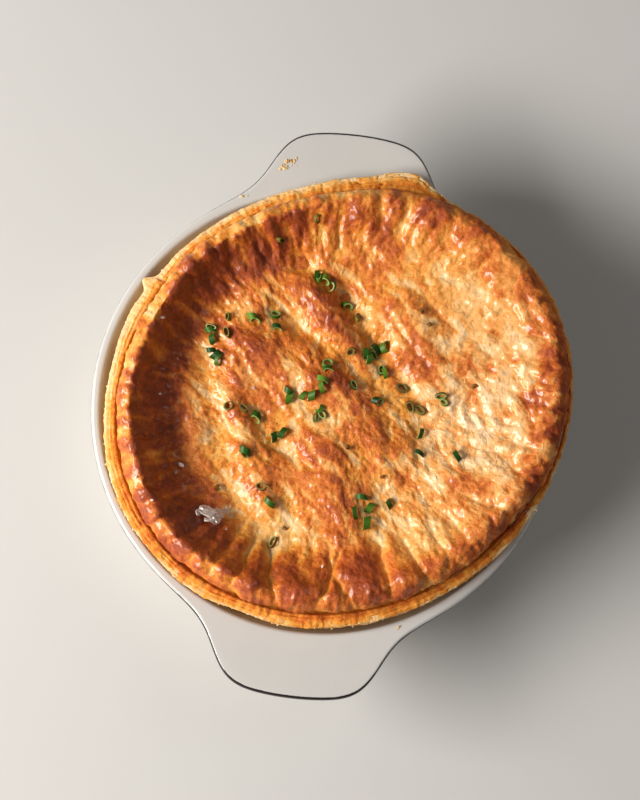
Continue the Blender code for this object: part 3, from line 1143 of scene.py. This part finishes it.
def lidBrowning(points, angle, rho, pleat, swelling, domes):
    x = points[:, 0]
    y = points[:, 1]
    brown = brownRadius(angle)
    left = 0.5 - 0.5 * np.cos(angle)
    band = np.exp(-(((rho - brown + 5 + 5 * left) / (8 + 6 * left)) ** 2))
    radial = wrapRound(angle, relief["radius"], rho * 0.35)
    wall = left * smooth((rho - brown + 24) / 8)
    streaks = 0.34 * softNoise(radial, 4.2, 53) + 0.20 * softNoise(radial, 1.9, 54)
    # painted shade: the crest band darkens towards the left, and the left inner wall a little, where the
    # crest's shadow falls
    tone = 0.38 + 0.045 * wall + wall * streaks
    tone += (0.20 + 0.12 * left) * band + 0.19 * swelling + 0.14 * pleat + 0.07 * domes
    tone += 0.05 * foldHeight(x, y)
    for px, py, radius, amount in ovenPatches.values():
        tone += amount * np.exp(-((x - px) ** 2 + (y - py) ** 2) / radius**2)
    tone += 0.14 * softNoise(points, 13, 51) + 0.14 * softNoise(points, 5, 52)
    # pale streaks of thinner pastry across the middle
    thin = smooth((softNoise(drawnOut(points, 0.34) + 1.8 * drift(points), 3.4, 45) - 0.05) / 0.3)
    middle = smooth((brown - 15 - rho) / 12)
    tone += (0.07 - 0.26 * thin) * middle
    # the outer shoulder is golden at the left, and dark at the right
    shoulder = smooth((rho - brown + 6.2) / 3.0)
    tone -= 0.34 * shoulder * sector(angle, radians(150), radians(72))
    tone += 0.20 * smooth((rho - brown + 7) / 6) * sector(angle, radians(4), radians(50))
    # painted sheen: the right slope is paler on the whole, with its own mottling laid over
    rightMottleAndSheen = sector(angle, radians(8), radians(50)) * smooth((rho - 28) / 12)
    rightMottleAndSheen *= smooth((brown - 7 - rho) / 6)
    tone += rightMottleAndSheen * (0.36 * softNoise(points + 2 * drift(points), 8, 56) - 0.16)
    # the middle is golden at its darkest
    tone -= 0.30 * middle * np.maximum(tone - 0.50, 0)
    return np.minimum(tone, 0.80 + 0.25 * (tone - 0.80)), 0.70 * thin * middle


def buildLid():
    rings, topCount = lidRings()
    tip = (*lid["centre"], lidMiddle())
    under = (*lid["centre"], lidMiddle() - 2 * lid["thickness"])
    item, points = closedFromRings("crustLid", rings, tip, under)
    angle, rho = fromLid(points)
    height, pleat, swelling, domes, skin = lidRelief(points, angle, rho)
    # the relief ends a few rows round the lip
    onTop = np.arange(len(points)) < topCount + 3 * lid["around"]
    points = pressOut(item, points, height * onTop)
    browning, thin = lidBrowning(points, angle, rho, pleat, swelling, domes)
    storeValue(item.data, "browning", browning)
    storeValue(item.data, "thinSkin", np.maximum(skin, thin))
    # the wash ran out before the rim, sooner at the right
    everywhere, right, fade = lid["washEnd"]
    washEnd = brownRadius(angle) - everywhere - right * sector(angle, radians(18), radians(60))
    storeValue(item.data, "unglazed", smooth((rho - washEnd) / fade))
    item.data.materials.append(pastryMaterial("bakedPastry", pastryLook["coat"]))
    return item


# The layered edge: a band outside the browned sheet, and torn leaves round its side

edgeStrip = {
    "groove": 0.65,  # width of the gap beside the sheet
    "grooveFloor": 3.8,  # heights above the rim
    "top": 5.3,
    "brim": 4.3,
    "base": 0.5,
    "fringe": 0.7,  # how far the torn leaves stand out beyond the band
    "narrowest": 0.9,
    "around": 1200,
    "noiseRadius": 78,
    "splits": ((0.36, 64, 0.55), (0.66, 67, 0.45)),  # share of the width, seed, depth
    "opened": (radians(84), radians(11), 0.9),  # where the sheets came apart: turn, half width, depth
    "crack": (radians(152.6), 0.5, 1.6),  # turn, half width (mm), depth
    "layerHeight": 0.62,
    "topRows": 15,
    "sideRows": 8,
}


def stripRings():
    angle = evenTurn(edgeStrip["around"])
    brown = brownRadius(angle)
    inner = brown + edgeStrip["groove"]
    outer = np.maximum(edgeRadius(angle) - edgeStrip["fringe"], inner + edgeStrip["narrowest"])
    floor = edgeStrip["grooveFloor"]
    top = edgeStrip["top"]
    brim = edgeStrip["brim"]
    base = edgeStrip["base"]
    lines = [(brown - 3.0, floor, 0), (brown - 1.0, floor, 0), (brown + 0.1, floor, 0)]
    lines += [(brown + 0.45 * edgeStrip["groove"], floor + 0.5, 0)]
    for k in range(edgeStrip["topRows"]):
        t = k / (edgeStrip["topRows"] - 1)
        lines.append((inner + (outer - inner) * t, top - (top - brim) * t**2 - 0.5 * (1 - t) ** 8, t))
    for k in range(1, edgeStrip["sideRows"]):
        t = k / (edgeStrip["sideRows"] - 1)
        lines.append((outer + 0.35 * sin(pi * t), brim + (base - brim) * t, 1 + t))
    lines += [(outer - 1.5, base - 0.1, 2), (brown - 4.5, base, 0), (brown - 4.5, floor - 0.6, 0)]
    rings = []
    shares = []
    for radius, height, share in lines:
        x, y = onLid(angle, radius)
        rings.append(np.stack([x, y, np.full_like(x, rimHeight + height)], 1))
        shares.append(np.full_like(x, share))
    return rings, np.concatenate(shares), np.tile(outer - inner, len(lines))


def stripRelief(points, angle, rho, share, width):
    # Ribs across the band, sheets that lift along it, and layers down its side
    onTop = smooth(share / 0.1)
    onBand = share <= 1
    level = points[:, 2] - rimHeight
    radius = edgeStrip["noiseRadius"]
    radial = wrapRound(angle, radius, rho * 0.3 + level * 0.3)
    around = wrapRound(angle, radius, 0 * rho)
    ribs = softNoise(radial, 1.1, 61) * 0.16 + (puffNoise(radial, 3.4, 65) - 0.45) * 0.22
    lumps = softNoise(points, 4.2, 62) * 0.45 + softNoise(points, 1.4, 66) * 0.12
    wander = softNoise(around, 16, 63)
    split = np.zeros_like(rho)
    for at, seed, deep in edgeStrip["splits"]:
        off = (share + 0.09 * wander - at) * width
        runs = smooth((softNoise(around, 10, seed) + 0.30) / 0.4)
        split += deep * runs * np.exp(-((off / 0.26) ** 2)) * onBand
    # at the back the sheets have come apart in steps
    at, wide, deep = edgeStrip["opened"]
    opened = sector(angle, at, wide) * onBand
    stair = (share * 3.4 + 0.5 * wander + 0.2 * softNoise(points, 3, 68)) % 1
    split += opened * deep * stair**2
    at, wide, deep = edgeStrip["crack"]
    crack = deep * np.exp(-((turnFrom(angle, at) * radius / wide) ** 2)) * onBand
    layer = np.abs((level + 0.25 * softNoise(points, 5, 69)) / edgeStrip["layerHeight"] % 1 - 0.5) * 2
    side = (share > 1) * (0.28 * layer - 0.1)
    return onTop * (0.25 + ribs + lumps - split - crack) + side, split + crack


def buildEdge():
    rings, share, width = stripRings()
    item, points = loopFromRings("crustEdge", rings)
    angle, rho = fromLid(points)
    height, split = stripRelief(points, angle, rho, share, width)
    points = pressOut(item, points, height)
    # pale at the left, darker at the right and the front
    outside = smooth((share - 0.35) / 0.4)
    pale = sector(angle, radians(165), radians(55))
    dark = sector(angle, radians(5), radians(60)) + 0.6 * sector(angle, radians(290), radians(45))
    caught = sector(angle, radians(225), radians(28))
    tone = 0.40 - 0.40 * outside * (0.40 + 0.60 * pale) * (1 - 0.6 * caught) + 0.14 * caught
    # painted shade: darker in the splits between the layers and in the crack
    tone += 0.14 * dark - 0.06 * pale + 0.12 * height + 0.22 * split
    tone += 0.16 * softNoise(points, 6, 71) + 0.12 * softNoise(points, 2, 72)
    storeValue(item.data, "browning", tone)
    storeValue(item.data, "unglazed", np.ones_like(tone))
    item.data.materials.append(pastryMaterial("dryPastryEdge", 0.0))
    return item


leaves = {
    "count": 6,
    "thickness": 0.36,
    "depth": 3.5,
    "low": 0.9,
    "high": 4.3,
    "ragged": 1.1,
    "feathers": 10.0,
    "wave": 0.7,
    "around": 1400,
}


def leafTree():
    sockets = {
        "Outline": "Object",
        "Count": "Int",
        "Around": "Int",
        "Rows": "Int",
        "Low": "Float",
        "High": "Float",
        "Ragged": "Float",
        "Wave": "Float",
        "Feathers": "Float",
        "Pastry": "Material",
    }
    tree, given = newTree("leavesStackedRoundTheEdge", sockets)
    grid, turn, read = latheGrid(tree, given["Geometry"], given["Rows"], given["Around"])
    dx, dz = splitVector(tree, read("position", "FLOAT_VECTOR"))[::2]
    geometry = keepValue(tree, grid, "turn", turn)
    geometry = keepValue(tree, geometry, "inset", dx)
    geometry = keepValue(tree, geometry, "rise", dz)
    line = addNode(tree, "GeometryNodeMeshLine", {"Count": given["Count"]})
    index = addNode(tree, "GeometryNodeInputIndex").outputs[0]
    points = keepValue(tree, line.outputs[0], "leafShare", Wire(tree, index) / (given["Count"] - 1))
    stack = addNode(tree, "GeometryNodeInstanceOnPoints", {"Points": points, "Instance": geometry})
    geometry = addNode(tree, "GeometryNodeRealizeInstances", {0: stack.outputs[0]}).outputs[0]

    turn = namedValue(tree, "turn")
    share = namedValue(tree, "leafShare")
    outline = addNode(tree, "GeometryNodeObjectInfo", {"Object": given["Outline"]}).outputs["Geometry"]
    column = (turn / (2 * pi) * given["Around"]).math("ROUND").math("MODULO", given["Around"])

    place = sampleAt(tree, outline, positionHere(tree), column, "FLOAT_VECTOR")
    x, y = splitVector(tree, place)[:2]
    step = sampleAt(tree, outline, namedValue(tree, "step"), column, "FLOAT")
    toothed = joinVector(tree, turn.math("COSINE") * 8, turn.math("SINE") * 8, share * 5)
    teeth = noiseField(tree, toothed, 7.0, 3, 0.8)
    torn = (noiseField(tree, toothed, 1.1, 2) - 0.5) * 1.2 + (teeth - 0.5) * 0.9
    torn = torn + (teeth - 0.62).math("MAXIMUM", 0.0) * given["Feathers"]
    lift = (noiseField(tree, toothed, 0.9, 2) - 0.5) * given["Wave"]
    lift = lift + (noiseField(tree, toothed, 6.0, 2) - 0.5) * given["Wave"] * 0.5
    out = namedValue(tree, "inset") + torn * given["Ragged"]
    out = out - (share - 0.5).math("ABSOLUTE") * step * 0.12
    x = x + out * turn.math("COSINE")
    y = y + out * turn.math("SINE")
    z = given["Low"] + (given["High"] - given["Low"]) * share + namedValue(tree, "rise") + lift
    geometry = weld(tree, moveTo(tree, geometry, joinVector(tree, x, y, z)))
    endTree(tree, geometry, given["Pastry"])
    return tree


def buildLeaves():
    half = leaves["thickness"] / 2
    depth = leaves["depth"]
    upper = [(0, 0), (-0.15, 0.7), (-0.6, 1.0), (-1.6, 1.0), (-depth, 0.8)]
    lower = [(x, -z) for x, z in reversed(upper[1:])]
    section = upper + lower + upper[:1]
    points = [(x * mm, 0, z * half * mm) for x, z in section]
    profile = pointMesh("leafSection", points, [(i, i + 1) for i in range(len(points) - 1)])
    around = leaves["around"]
    angle = evenTurn(around)
    edge = edgeRadius(angle)
    x, y = onLid(angle, edge)
    ring = np.stack([x, y, 0 * x], 1) * mm
    step = (edge - brownRadius(angle)) * mm
    outline = bpy.data.objects.new("lidOutline", pointMesh("lidOutline", ring, [], step=step))
    bpy.context.scene.collection.objects.link(outline)
    values = {
        "Outline": outline,
        "Count": leaves["count"],
        "Around": around,
        "Rows": len(points),
        "Low": (rimHeight + leaves["low"]) * mm,
        "High": (rimHeight + leaves["high"]) * mm,
        "Ragged": leaves["ragged"] * mm,
        "Wave": leaves["wave"] * mm,
        "Feathers": leaves["feathers"],
        "Pastry": leafMaterial(),
    }
    item = growPiece("crustLeaves", leafTree(), profile, values)
    bpy.data.objects.remove(outline)
    return item


# The filling below, seen only in the gap beside the wall

filling = {
    "gap": 0.4,
    "level": 12.0,  # how far below the rim it meets the wall
    "below": 7.0,  # how far below the lid it lies
    "around": 180,
}


def buildFilling():
    gap = filling["gap"]
    around = filling["around"]
    floor = dish["floorThickness"] + gap
    level = rimHeight - filling["level"]
    angle = evenTurn(around)

    def wallRing(radius, z):
        return np.stack([radius * np.cos(angle), radius * np.sin(angle), np.full(around, z)], 1)

    def edgeRing(inset, z):
        # under the lid's edge, kept clear of the wall
        ring = lidRing(around, lambda a: edgeRadius(a) - inset, lambda a, r: 0 * a + z - rimHeight)
        limit = innerRadius(min(z, rimHeight)) - gap
        pull = np.minimum(1, limit / np.hypot(ring[:, 0], ring[:, 1]))
        ring[:, :2] *= pull[:, None]
        return ring

    def underLid(a, r):
        return lidHeight(a, r) - filling["below"]

    corners = [
        (0, floor, 0, 0, 0),
        (innerRadius(floor) - gap, floor, dish["floorRounding"], 6, 0),
        (innerRadius(level) - gap, level, 0, 0, 0),
    ]
    rings = [wallRing(*point[:2]) for point in roundedProfile(corners)[1:]]
    for inset, z in ((1.5, level + 0.4), (2.0, rimHeight + 0.5), (9.0, rimHeight + 6.0)):
        rings.append(edgeRing(inset, z))
    for share in (0.8, 0.6, 0.35):
        rings.append(lidRing(around, lambda a, s=share: s * brownRadius(a), underLid))
    top = (*lid["centre"], lidMiddle() - filling["below"])
    item = closedFromRings("pieFilling", rings[::-1], top, (0, 0, floor))[0]
    item.data.materials.append(fillingMaterial())
    return item


# Chives, salt and crumbs: small things set down on the pie by Geometry Nodes

chives = {
    "radius": 1.5,
    "wall": 0.42,
    "length": 1.7,
    "sliceLength": 3.2,
    "sliceRadius": 1.4,
    "slant": 0.60,  # rise of a slice's diagonal cut over its width
    "flattened": 0.62,
    "crispOver": 0.6,  # edges that turn by more than this (radians) stay crisp
    "seed": 7,
}

# Where cut chives lie: x, y. Rings lie open side up, slices on their side.
chiveRings = [
    (2.7, 36.7), (-20.5, 29.1), (-41.6, 22.6), (17.6, 14.3), (-1.0, 13.8), (38.7, 7.7), (-2.6, -4.6),
    (-0.4, -3.0), (8.6, 7.4), (-7.2, 43.6), (13.6, 19.4), (40.2, 5.2),
]  # fmt: skip
chiveSlices = [
    (-8.0, 44.5), (-5.2, 43.5), (-3.0, 41.5), (-28.5, 27.6), (-27.4, 26.0), (-19.6, 24.8), (-41.9, 21.6),
    (-40.5, 18.4), (-40.6, 14.6), (-38.8, 13.2), (-37.5, 11.4), (11.8, 19.6), (12.8, 18.0), (14.9, 21.3),
    (18.6, 22.8), (19.0, 13.6), (-0.6, 11.8), (17.4, 3.0), (-1.9, 8.0), (-1.9, 5.6), (-4.8, 2.7),
    (-12.9, 3.6), (-12.2, 1.0), (-7.7, 2.4), (-1.7, -1.3), (-23.0, -6.8), (-13.3, -10.8), (-16.4, -12.7),
    (-25.1, -18.7), (33.1, -5.7), (46.2, -12.7), (-14.7, -35.0), (15.7, -29.7), (18.8, -33.2),
    (14.0, -35.5), (18.1, -38.7), (25.1, -31.1), (-4.4, 79.2), (3.4, 35.4), (33.5, -12.9),
]  # fmt: skip

# browned in the oven
driedRings = [
    (-32.4, -4.2), (-27.4, -4.8), (-22.2, 54.4), (-10.4, 63.4), (-36.1, 26.5), (-35.8, 20.7), (7.7, 31.5),
    (25.0, 8.8), (28.5, 3.3), (32.3, 2.2), (-18.1, -30.6), (-25.4, -19.2), (6.5, 19.8), (-11.8, -48.3),
]  # fmt: skip
driedSlices = [(-33, -32), (-9, -43), (50, 12), (29, 36), (9, -14), (22, -22), (32.0, 31.4)]


def dropOnto(tree, points, grounds, lift):
    # Sets each point down on the surface below it, which it remembers the direction of
    found = addNode(tree, "GeometryNodeJoinGeometry")
    for ground in grounds:
        shape = addNode(tree, "GeometryNodeObjectInfo", {"Object": ground}).outputs["Geometry"]
        tree.links.new(shape, found.inputs[0])
    inputs = {"Target Geometry": found.outputs[0], "Ray Direction": (0, 0, -1), "Ray Length": 0.2}
    ray = addNode(tree, "GeometryNodeRaycast", inputs)
    normal = ray.outputs["Hit Normal"]
    up = scaleVector(tree, normal, lift)
    place = addNode(tree, "ShaderNodeVectorMath", {0: ray.outputs["Hit Position"], 1: up}).outputs[0]
    facing = keepValue(tree, points, "facing", normal, kind="FLOAT_VECTOR")
    missed = Wire(tree, ray.outputs["Is Hit"]).math("LESS_THAN", 0.5)
    inputs = {"Geometry": moveTo(tree, facing, place), "Selection": missed}
    landed = addNode(tree, "GeometryNodeDeleteGeometry", inputs)
    return Wire(tree, landed.outputs[0])


def scatterNodes(tree, points, instance, tilt, spin, scale, chosen=True):
    # Instances on points, turned to the stored surface direction, then tilted and spun
    facing = namedValue(tree, "facing", "FLOAT_VECTOR")
    upright = addNode(tree, "FunctionNodeAlignRotationToVector", {"Vector": facing}, axis="Z")
    own = addNode(tree, "FunctionNodeEulerToRotation", {0: joinVector(tree, tilt, 0.0, spin)})
    inputs = {"Rotation": upright.outputs[0], "Rotate By": own.outputs[0]}
    turned = addNode(tree, "FunctionNodeRotateRotation", inputs, rotation_space="LOCAL")
    inputs = {"Points": points, "Instance": instance, "Rotation": turned.outputs[0], "Scale": scale}
    inputs["Selection"] = chosen
    return Wire(tree, addNode(tree, "GeometryNodeInstanceOnPoints", inputs).outputs[0])


def chiveTree():
    sockets = {
        "Crust": "Object",
        "Dish": "Object",
        "Radius": "Float",
        "Wall": "Float",
        "Length": "Float",
        "Slice Radius": "Float",
        "Slice Length": "Float",
        "Slant": "Float",
        "Flattened": "Float",
        "Seed": "Int",
        "Leaf": "Material",
    }
    tree, given = newTree("chivesSetDown", sockets)
    seed = given["Seed"]
    lying = namedValue(tree, "lying")
    lift = given["Radius"] * (lying * -0.16 + 0.50)
    points = dropOnto(tree, given["Geometry"], (given["Crust"], given["Dish"]), lift)
    points = keepValue(tree, points, "shade", randomValue(tree, "FLOAT", 0.0, 1.0, seed))

    def cutTube(radius, length):
        # A thin-walled tube standing on its end, which knows its inner wall and its cut ends
        path = addNode(tree, "GeometryNodeCurvePrimitiveCircle", {"Resolution": 20, "Radius": radius})
        wall = addNode(tree, "GeometryNodeCurvePrimitiveQuadrilateral", {0: given["Wall"], 1: length})
        inputs = {0: path.outputs[0], 1: wall.outputs[0]}
        tube = addNode(tree, "GeometryNodeCurveToMesh", inputs).outputs[0]
        normal = addNode(tree, "GeometryNodeInputNormal").outputs[0]
        endOn = splitVector(tree, normal)[2].math("ABSOLUTE")
        tube = keepValue(tree, tube, "cutFace", endOn, "FACE")
        x, y = splitVector(tree, positionHere(tree))[:2]
        distance = (x * x + y * y).math("SQRT")
        return keepValue(tree, tube, "inside", distance.math("LESS_THAN", radius)), x

    ring = cutTube(given["Radius"], given["Length"])[0]
    piece, x = cutTube(given["Slice Radius"], given["Slice Length"])
    piece = moveBy(tree, piece, joinVector(tree, 0.0, 0.0, x * given["Slant"]))
    flat = joinVector(tree, 1.0, 1.0, given["Flattened"])
    inputs = {"Geometry": piece, "Rotation": (pi / 2, 0, 0), "Scale": flat}
    piece = addNode(tree, "GeometryNodeTransform", inputs).outputs[0]
    spin = randomValue(tree, "FLOAT", 0.0, 6.283, seed + 2)
    tilt = randomValue(tree, "FLOAT", -0.42, 0.42, seed + 1)
    squash = randomValue(tree, "FLOAT_VECTOR", (0.9, 0.40, 0.6), (1.25, 0.9, 1.1), seed + 3)
    standing = scatterNodes(tree, points, ring, tilt, spin, squash, lying.math("LESS_THAN", 0.5))
    cut = randomValue(tree, "FLOAT_VECTOR", (0.85, 0.7, 0.85), (1.3, 1.35, 1.2), seed + 4)
    size = scaleVector(tree, cut, namedValue(tree, "dried") * -0.5 + 1.0)
    flat = scatterNodes(tree, points, piece, tilt * 0.6, spin, size, lying.math("GREATER_THAN", 0.5))
    both = addNode(tree, "GeometryNodeJoinGeometry")
    tree.links.new(standing.socket, both.inputs[0])
    tree.links.new(flat.socket, both.inputs[0])
    endTree(tree, both.outputs[0], given["Leaf"], crispOver=chives["crispOver"])
    return tree


def buildChives(crust, dishPiece):
    spots = []
    lying = []
    dried = []
    for group, isLying, isDried in (
        (chiveRings, 0.0, 0.0),
        (driedRings, 0.0, 0.6),
        (chiveSlices, 1.0, 0.0),
        (driedSlices, 1.0, 1.0),
    ):
        spots += group
        lying += [isLying] * len(group)
        dried += [isDried] * len(group)
    places = [(x * mm, y * mm, dropHeight) for x, y in spots]
    mesh = pointMesh("chiveSpots", places, [], lying=lying, dried=dried)
    values = {
        "Crust": crust,
        "Dish": dishPiece,
        "Radius": chives["radius"] * mm,
        "Wall": chives["wall"] * mm,
        "Length": chives["length"] * mm,
        "Slice Radius": chives["sliceRadius"] * mm,
        "Slice Length": chives["sliceLength"] * mm,
        "Slant": chives["slant"],
        "Flattened": chives["flattened"],
        "Seed": chives["seed"],
        "Leaf": chiveMaterial(),
    }
    return growPiece("choppedChives", chiveTree(), mesh, values)


# x, y, size of each salt flake: one crumpled cluster, and single crystals
saltSpots = [
    (-35.5, -42.0, 6.6), (-32.5, -41.0, 5.8), (-36.5, -40.5, 4.4), (-31.5, -43.0, 5.2),
    (-34.0, -44.5, 4.8), (-38.0, -42.0, 3.4), (-30.0, -40.5, 3.6), (-33.5, -42.5, 5.6),
    (-47.5, -29.0, 2.0), (-56.0, -3.0, 1.3), (-46.0, -26.0, 2.2), (-59.0, -33.0, 1.4),
    (-53.0, -40.0, 1.3), (-58.0, 22.0, 1.5), (-52.0, 10.0, 0.9), (-28.0, -46.0, 1.3),
    (5.0, -55.0, 1.1), (-25.0, 3.0, 1.0), (30.0, -30.0, 0.9),
]  # fmt: skip
saltShape = {"plates": True, "flatness": 0.13, "lift": 0.38, "seed": 3}

# x, y of pastry crumbs, how far they spread and how many
crumbSpots = [(-22, 84, 1.5, 14), (-20.5, 85.5, 0.9, 8), (-24, 83, 0.9, 6), (33, -71.5, 0.4, 4)]
crumbSpots += [(-36, 72, 3, 3), (-60, -50, 3, 3)]
crumbShape = {
    "plates": False,
    "flatness": 0.16,
    "lift": 0.10,
    "seed": 9,
    "spreadSeed": 5,
    "sizes": (0.4, 1.5),
}


def chipTree(name, plates):
    # Salt and crumbs: roughened stones or thin plates set down on what lies below
    sockets = {
        "Crust": "Object",
        "Dish": "Object",
        "Flatness": "Float",
        "Lift": "Float",
        "Seed": "Int",
        "Finish": "Material",
    }
    tree, given = newTree(name, sockets)
    size = namedValue(tree, "size")
    grounds = (given["Crust"], given["Dish"])
    points = dropOnto(tree, given["Geometry"], grounds, size * given["Lift"])
    if plates:
        inputs = {"Vertices": 7, "Side Segments": 1, "Radius": 0.5, "Depth": 0.6}
        stone = addNode(tree, "GeometryNodeMeshCylinder", inputs).outputs[0]
    else:
        inputs = {"Radius": 0.5, "Subdivisions": 2}
        stone = addNode(tree, "GeometryNodeMeshIcoSphere", inputs).outputs[0]
    low = joinVector(tree, 0.75, 0.55, given["Flatness"])
    high = joinVector(tree, 1.1, 0.9, given["Flatness"] * 1.4)
    shape = randomValue(tree, "FLOAT_VECTOR", low, high, given["Seed"])
    tilt = randomValue(tree, "FLOAT", -0.9, 0.9, given["Seed"] + 1)
    spin = randomValue(tree, "FLOAT", 0.0, 6.283, given["Seed"] + 2)
    placed = scatterNodes(tree, points, stone, tilt, spin, scaleVector(tree, shape, size))
    real = addNode(tree, "GeometryNodeRealizeInstances", {0: placed}).outputs[0]
    inputs = {"Vector": positionHere(tree), "Scale": 900.0, "Detail": 1.0}
    uneven = addNode(tree, "ShaderNodeTexNoise", inputs).outputs[1]
    inputs = {0: uneven, 1: (0.5, 0.5, 0.5)}
    centred = addNode(tree, "ShaderNodeVectorMath", inputs, operation="SUBTRACT").outputs[0]
    rough = moveBy(tree, real, scaleVector(tree, centred, size * 0.35))
    endTree(tree, rough, given["Finish"], not plates)
    return tree


def buildChips(name, spots, shape, material, crust, dishPiece):
    points = [(x * mm, y * mm, dropHeight) for x, y, size in spots]
    mesh = pointMesh(name + "Spots", points, [], size=[size * mm for x, y, size in spots])
    values = {
        "Crust": crust,
        "Dish": dishPiece,
        "Flatness": shape["flatness"],
        "Lift": shape["lift"],
        "Seed": shape["seed"],
        "Finish": material,
    }
    return growPiece(name, chipTree(name + "SetDown", shape["plates"]), mesh, values)


# Build everything

dishPiece = buildDish()
print("dish grown:", len(dishPiece.data.polygons), "faces")
lidPiece = buildLid()
print("crust lid shaped:", len(lidPiece.data.polygons), "faces")
edgePiece = buildEdge()
leafPiece = buildLeaves()
print("edge leaves stacked:", len(leafPiece.data.polygons), "faces")
fillingPiece = buildFilling()
chivePiece = buildChives(lidPiece, dishPiece)
print("chives set down:", len(chivePiece.data.polygons), "faces")
saltPiece = buildChips("saltFlakes", saltSpots, saltShape, saltMaterial(), lidPiece, dishPiece)
pick = np.random.default_rng(crumbShape["spreadSeed"])
crumbs = [
    (x + pick.normal(0, spread), y + 0.6 * pick.normal(0, spread), pick.uniform(*crumbShape["sizes"]))
    for x, y, spread, count in crumbSpots
    for _ in range(count)
]
crumbPiece = buildChips("pastryCrumbs", crumbs, crumbShape, crumbMaterial(), lidPiece, dishPiece)
print("salt and crumbs set down")

for piece, slot in (
    (dishPiece, "white_enamel"),
    (lidPiece, "baked_pastry"),
    (edgePiece, "baked_pastry"),
    (leafPiece, "baked_pastry"),
    (fillingPiece, "baked_pastry"),
    (chivePiece, "baked_pastry"),
    (saltPiece, "baked_pastry"),
    (crumbPiece, "baked_pastry"),
):
    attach(piece, "root")
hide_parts("dish")
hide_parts("pie")


# Stage, light and camera

stage = {
    "floorColour": (0.64, 0.63, 0.615),
    "floorClouds": 0.97,  # brightness of its faint patches
    "floorRoughness": 0.75,
    "floorReach": 3.0,
    "keyTurn": radians(197),
    "keyRise": radians(33),
    "keyDistance": 1.2,
    "keySize": (1.0, 0.34),
    "keyPower": 24.5,
    "keyColour": (1.0, 0.965, 0.91),
    "fillTurn": radians(35),
    "fillRise": radians(52),
    "fillSize": (0.35, 0.35),
    "fillPower": 0.8,
    "skyStrength": 0.128,
    "skyColour": (1.0, 0.975, 0.95),
}
view = {
    "target": (-2.0, 2.2),
    "distance": 547.0,
    "rise": radians(79.8),
    "turn": radians(0.8),
    "roll": radians(5.8),
    "lens": 72.0,
    "sensor": 36,
}


def buildFloor():
    mesh = bpy.data.meshes.new("studioFloor")
    far = stage["floorReach"]
    corners = [(-far, -far, 0), (far, -far, 0), (far, far, 0), (-far, far, 0)]
    mesh.from_pydata(corners, [], [(0, 1, 2, 3)])
    floor = bpy.data.objects.new("studioFloor", mesh)
    bpy.context.scene.collection.objects.link(floor)
    material, tree, shader, place = newMaterial("paleFloor")
    shade = noiseField(tree, place, 6, 2)
    floorColour = stage["floorColour"]
    dimmer = tuple(c * stage["floorClouds"] for c in floorColour)
    colour = mixColour(tree, remap(tree, shade, 0.3, 0.7), floorColour, dimmer)
    plug(tree, shader.inputs["Base Color"], colour)
    shader.inputs["Roughness"].default_value = stage["floorRoughness"]
    mesh.materials.append(material)


def addLight(name, turn, rise, distance, size, power, colour):
    data = bpy.data.lights.new(name, "AREA")
    data.shape = "RECTANGLE"
    data.size, data.size_y = size
    data.energy = power
    data.color = colour
    lamp = bpy.data.objects.new(name, data)
    aim = Vector((0, 0, rimHeight * mm))
    direction = Vector((cos(turn) * cos(rise), sin(turn) * cos(rise), sin(rise)))
    lamp.location = aim + direction * distance
    lamp.rotation_euler = direction.to_track_quat("Z", "Y").to_euler()
    bpy.context.scene.collection.objects.link(lamp)


def buildLight():
    for name in ("key", "fill"):
        turn, rise, size, power = [stage[name + word] for word in ("Turn", "Rise", "Size", "Power")]
        addLight(name + "Light", turn, rise, stage["keyDistance"], size, power, stage["keyColour"])
    world = bpy.data.worlds.new("softSky")
    world.use_nodes = True
    sky = world.node_tree.nodes["Background"]
    sky.inputs[0].default_value = (*stage["skyColour"], 1)
    sky.inputs[1].default_value = stage["skyStrength"]
    bpy.context.scene.world = world


def buildCamera():
    data = bpy.data.cameras.new("viewCamera")
    data.lens = view["lens"]
    data.sensor_width = view["sensor"]
    camera = bpy.data.objects.new("viewCamera", data)
    turn = view["turn"]
    rise = view["rise"]
    back = Vector((sin(turn) * cos(rise), -cos(turn) * cos(rise), sin(rise)))
    right = Vector((cos(turn), sin(turn), 0))
    up = back.cross(right)
    c = cos(view["roll"])
    s = sin(view["roll"])
    axes = Matrix((c * right + s * up, c * up - s * right, back)).transposed()
    target = Vector((view["target"][0] * mm, view["target"][1] * mm, rimHeight * mm))
    camera.matrix_world = Matrix.Translation(target + back * view["distance"] * mm) @ axes.to_4x4()
    bpy.context.scene.collection.objects.link(camera)
    bpy.context.scene.camera = camera


buildFloor()
buildLight()
buildCamera()
bpy.context.scene.view_settings.view_transform = "Standard"
print("floor, light and camera set")
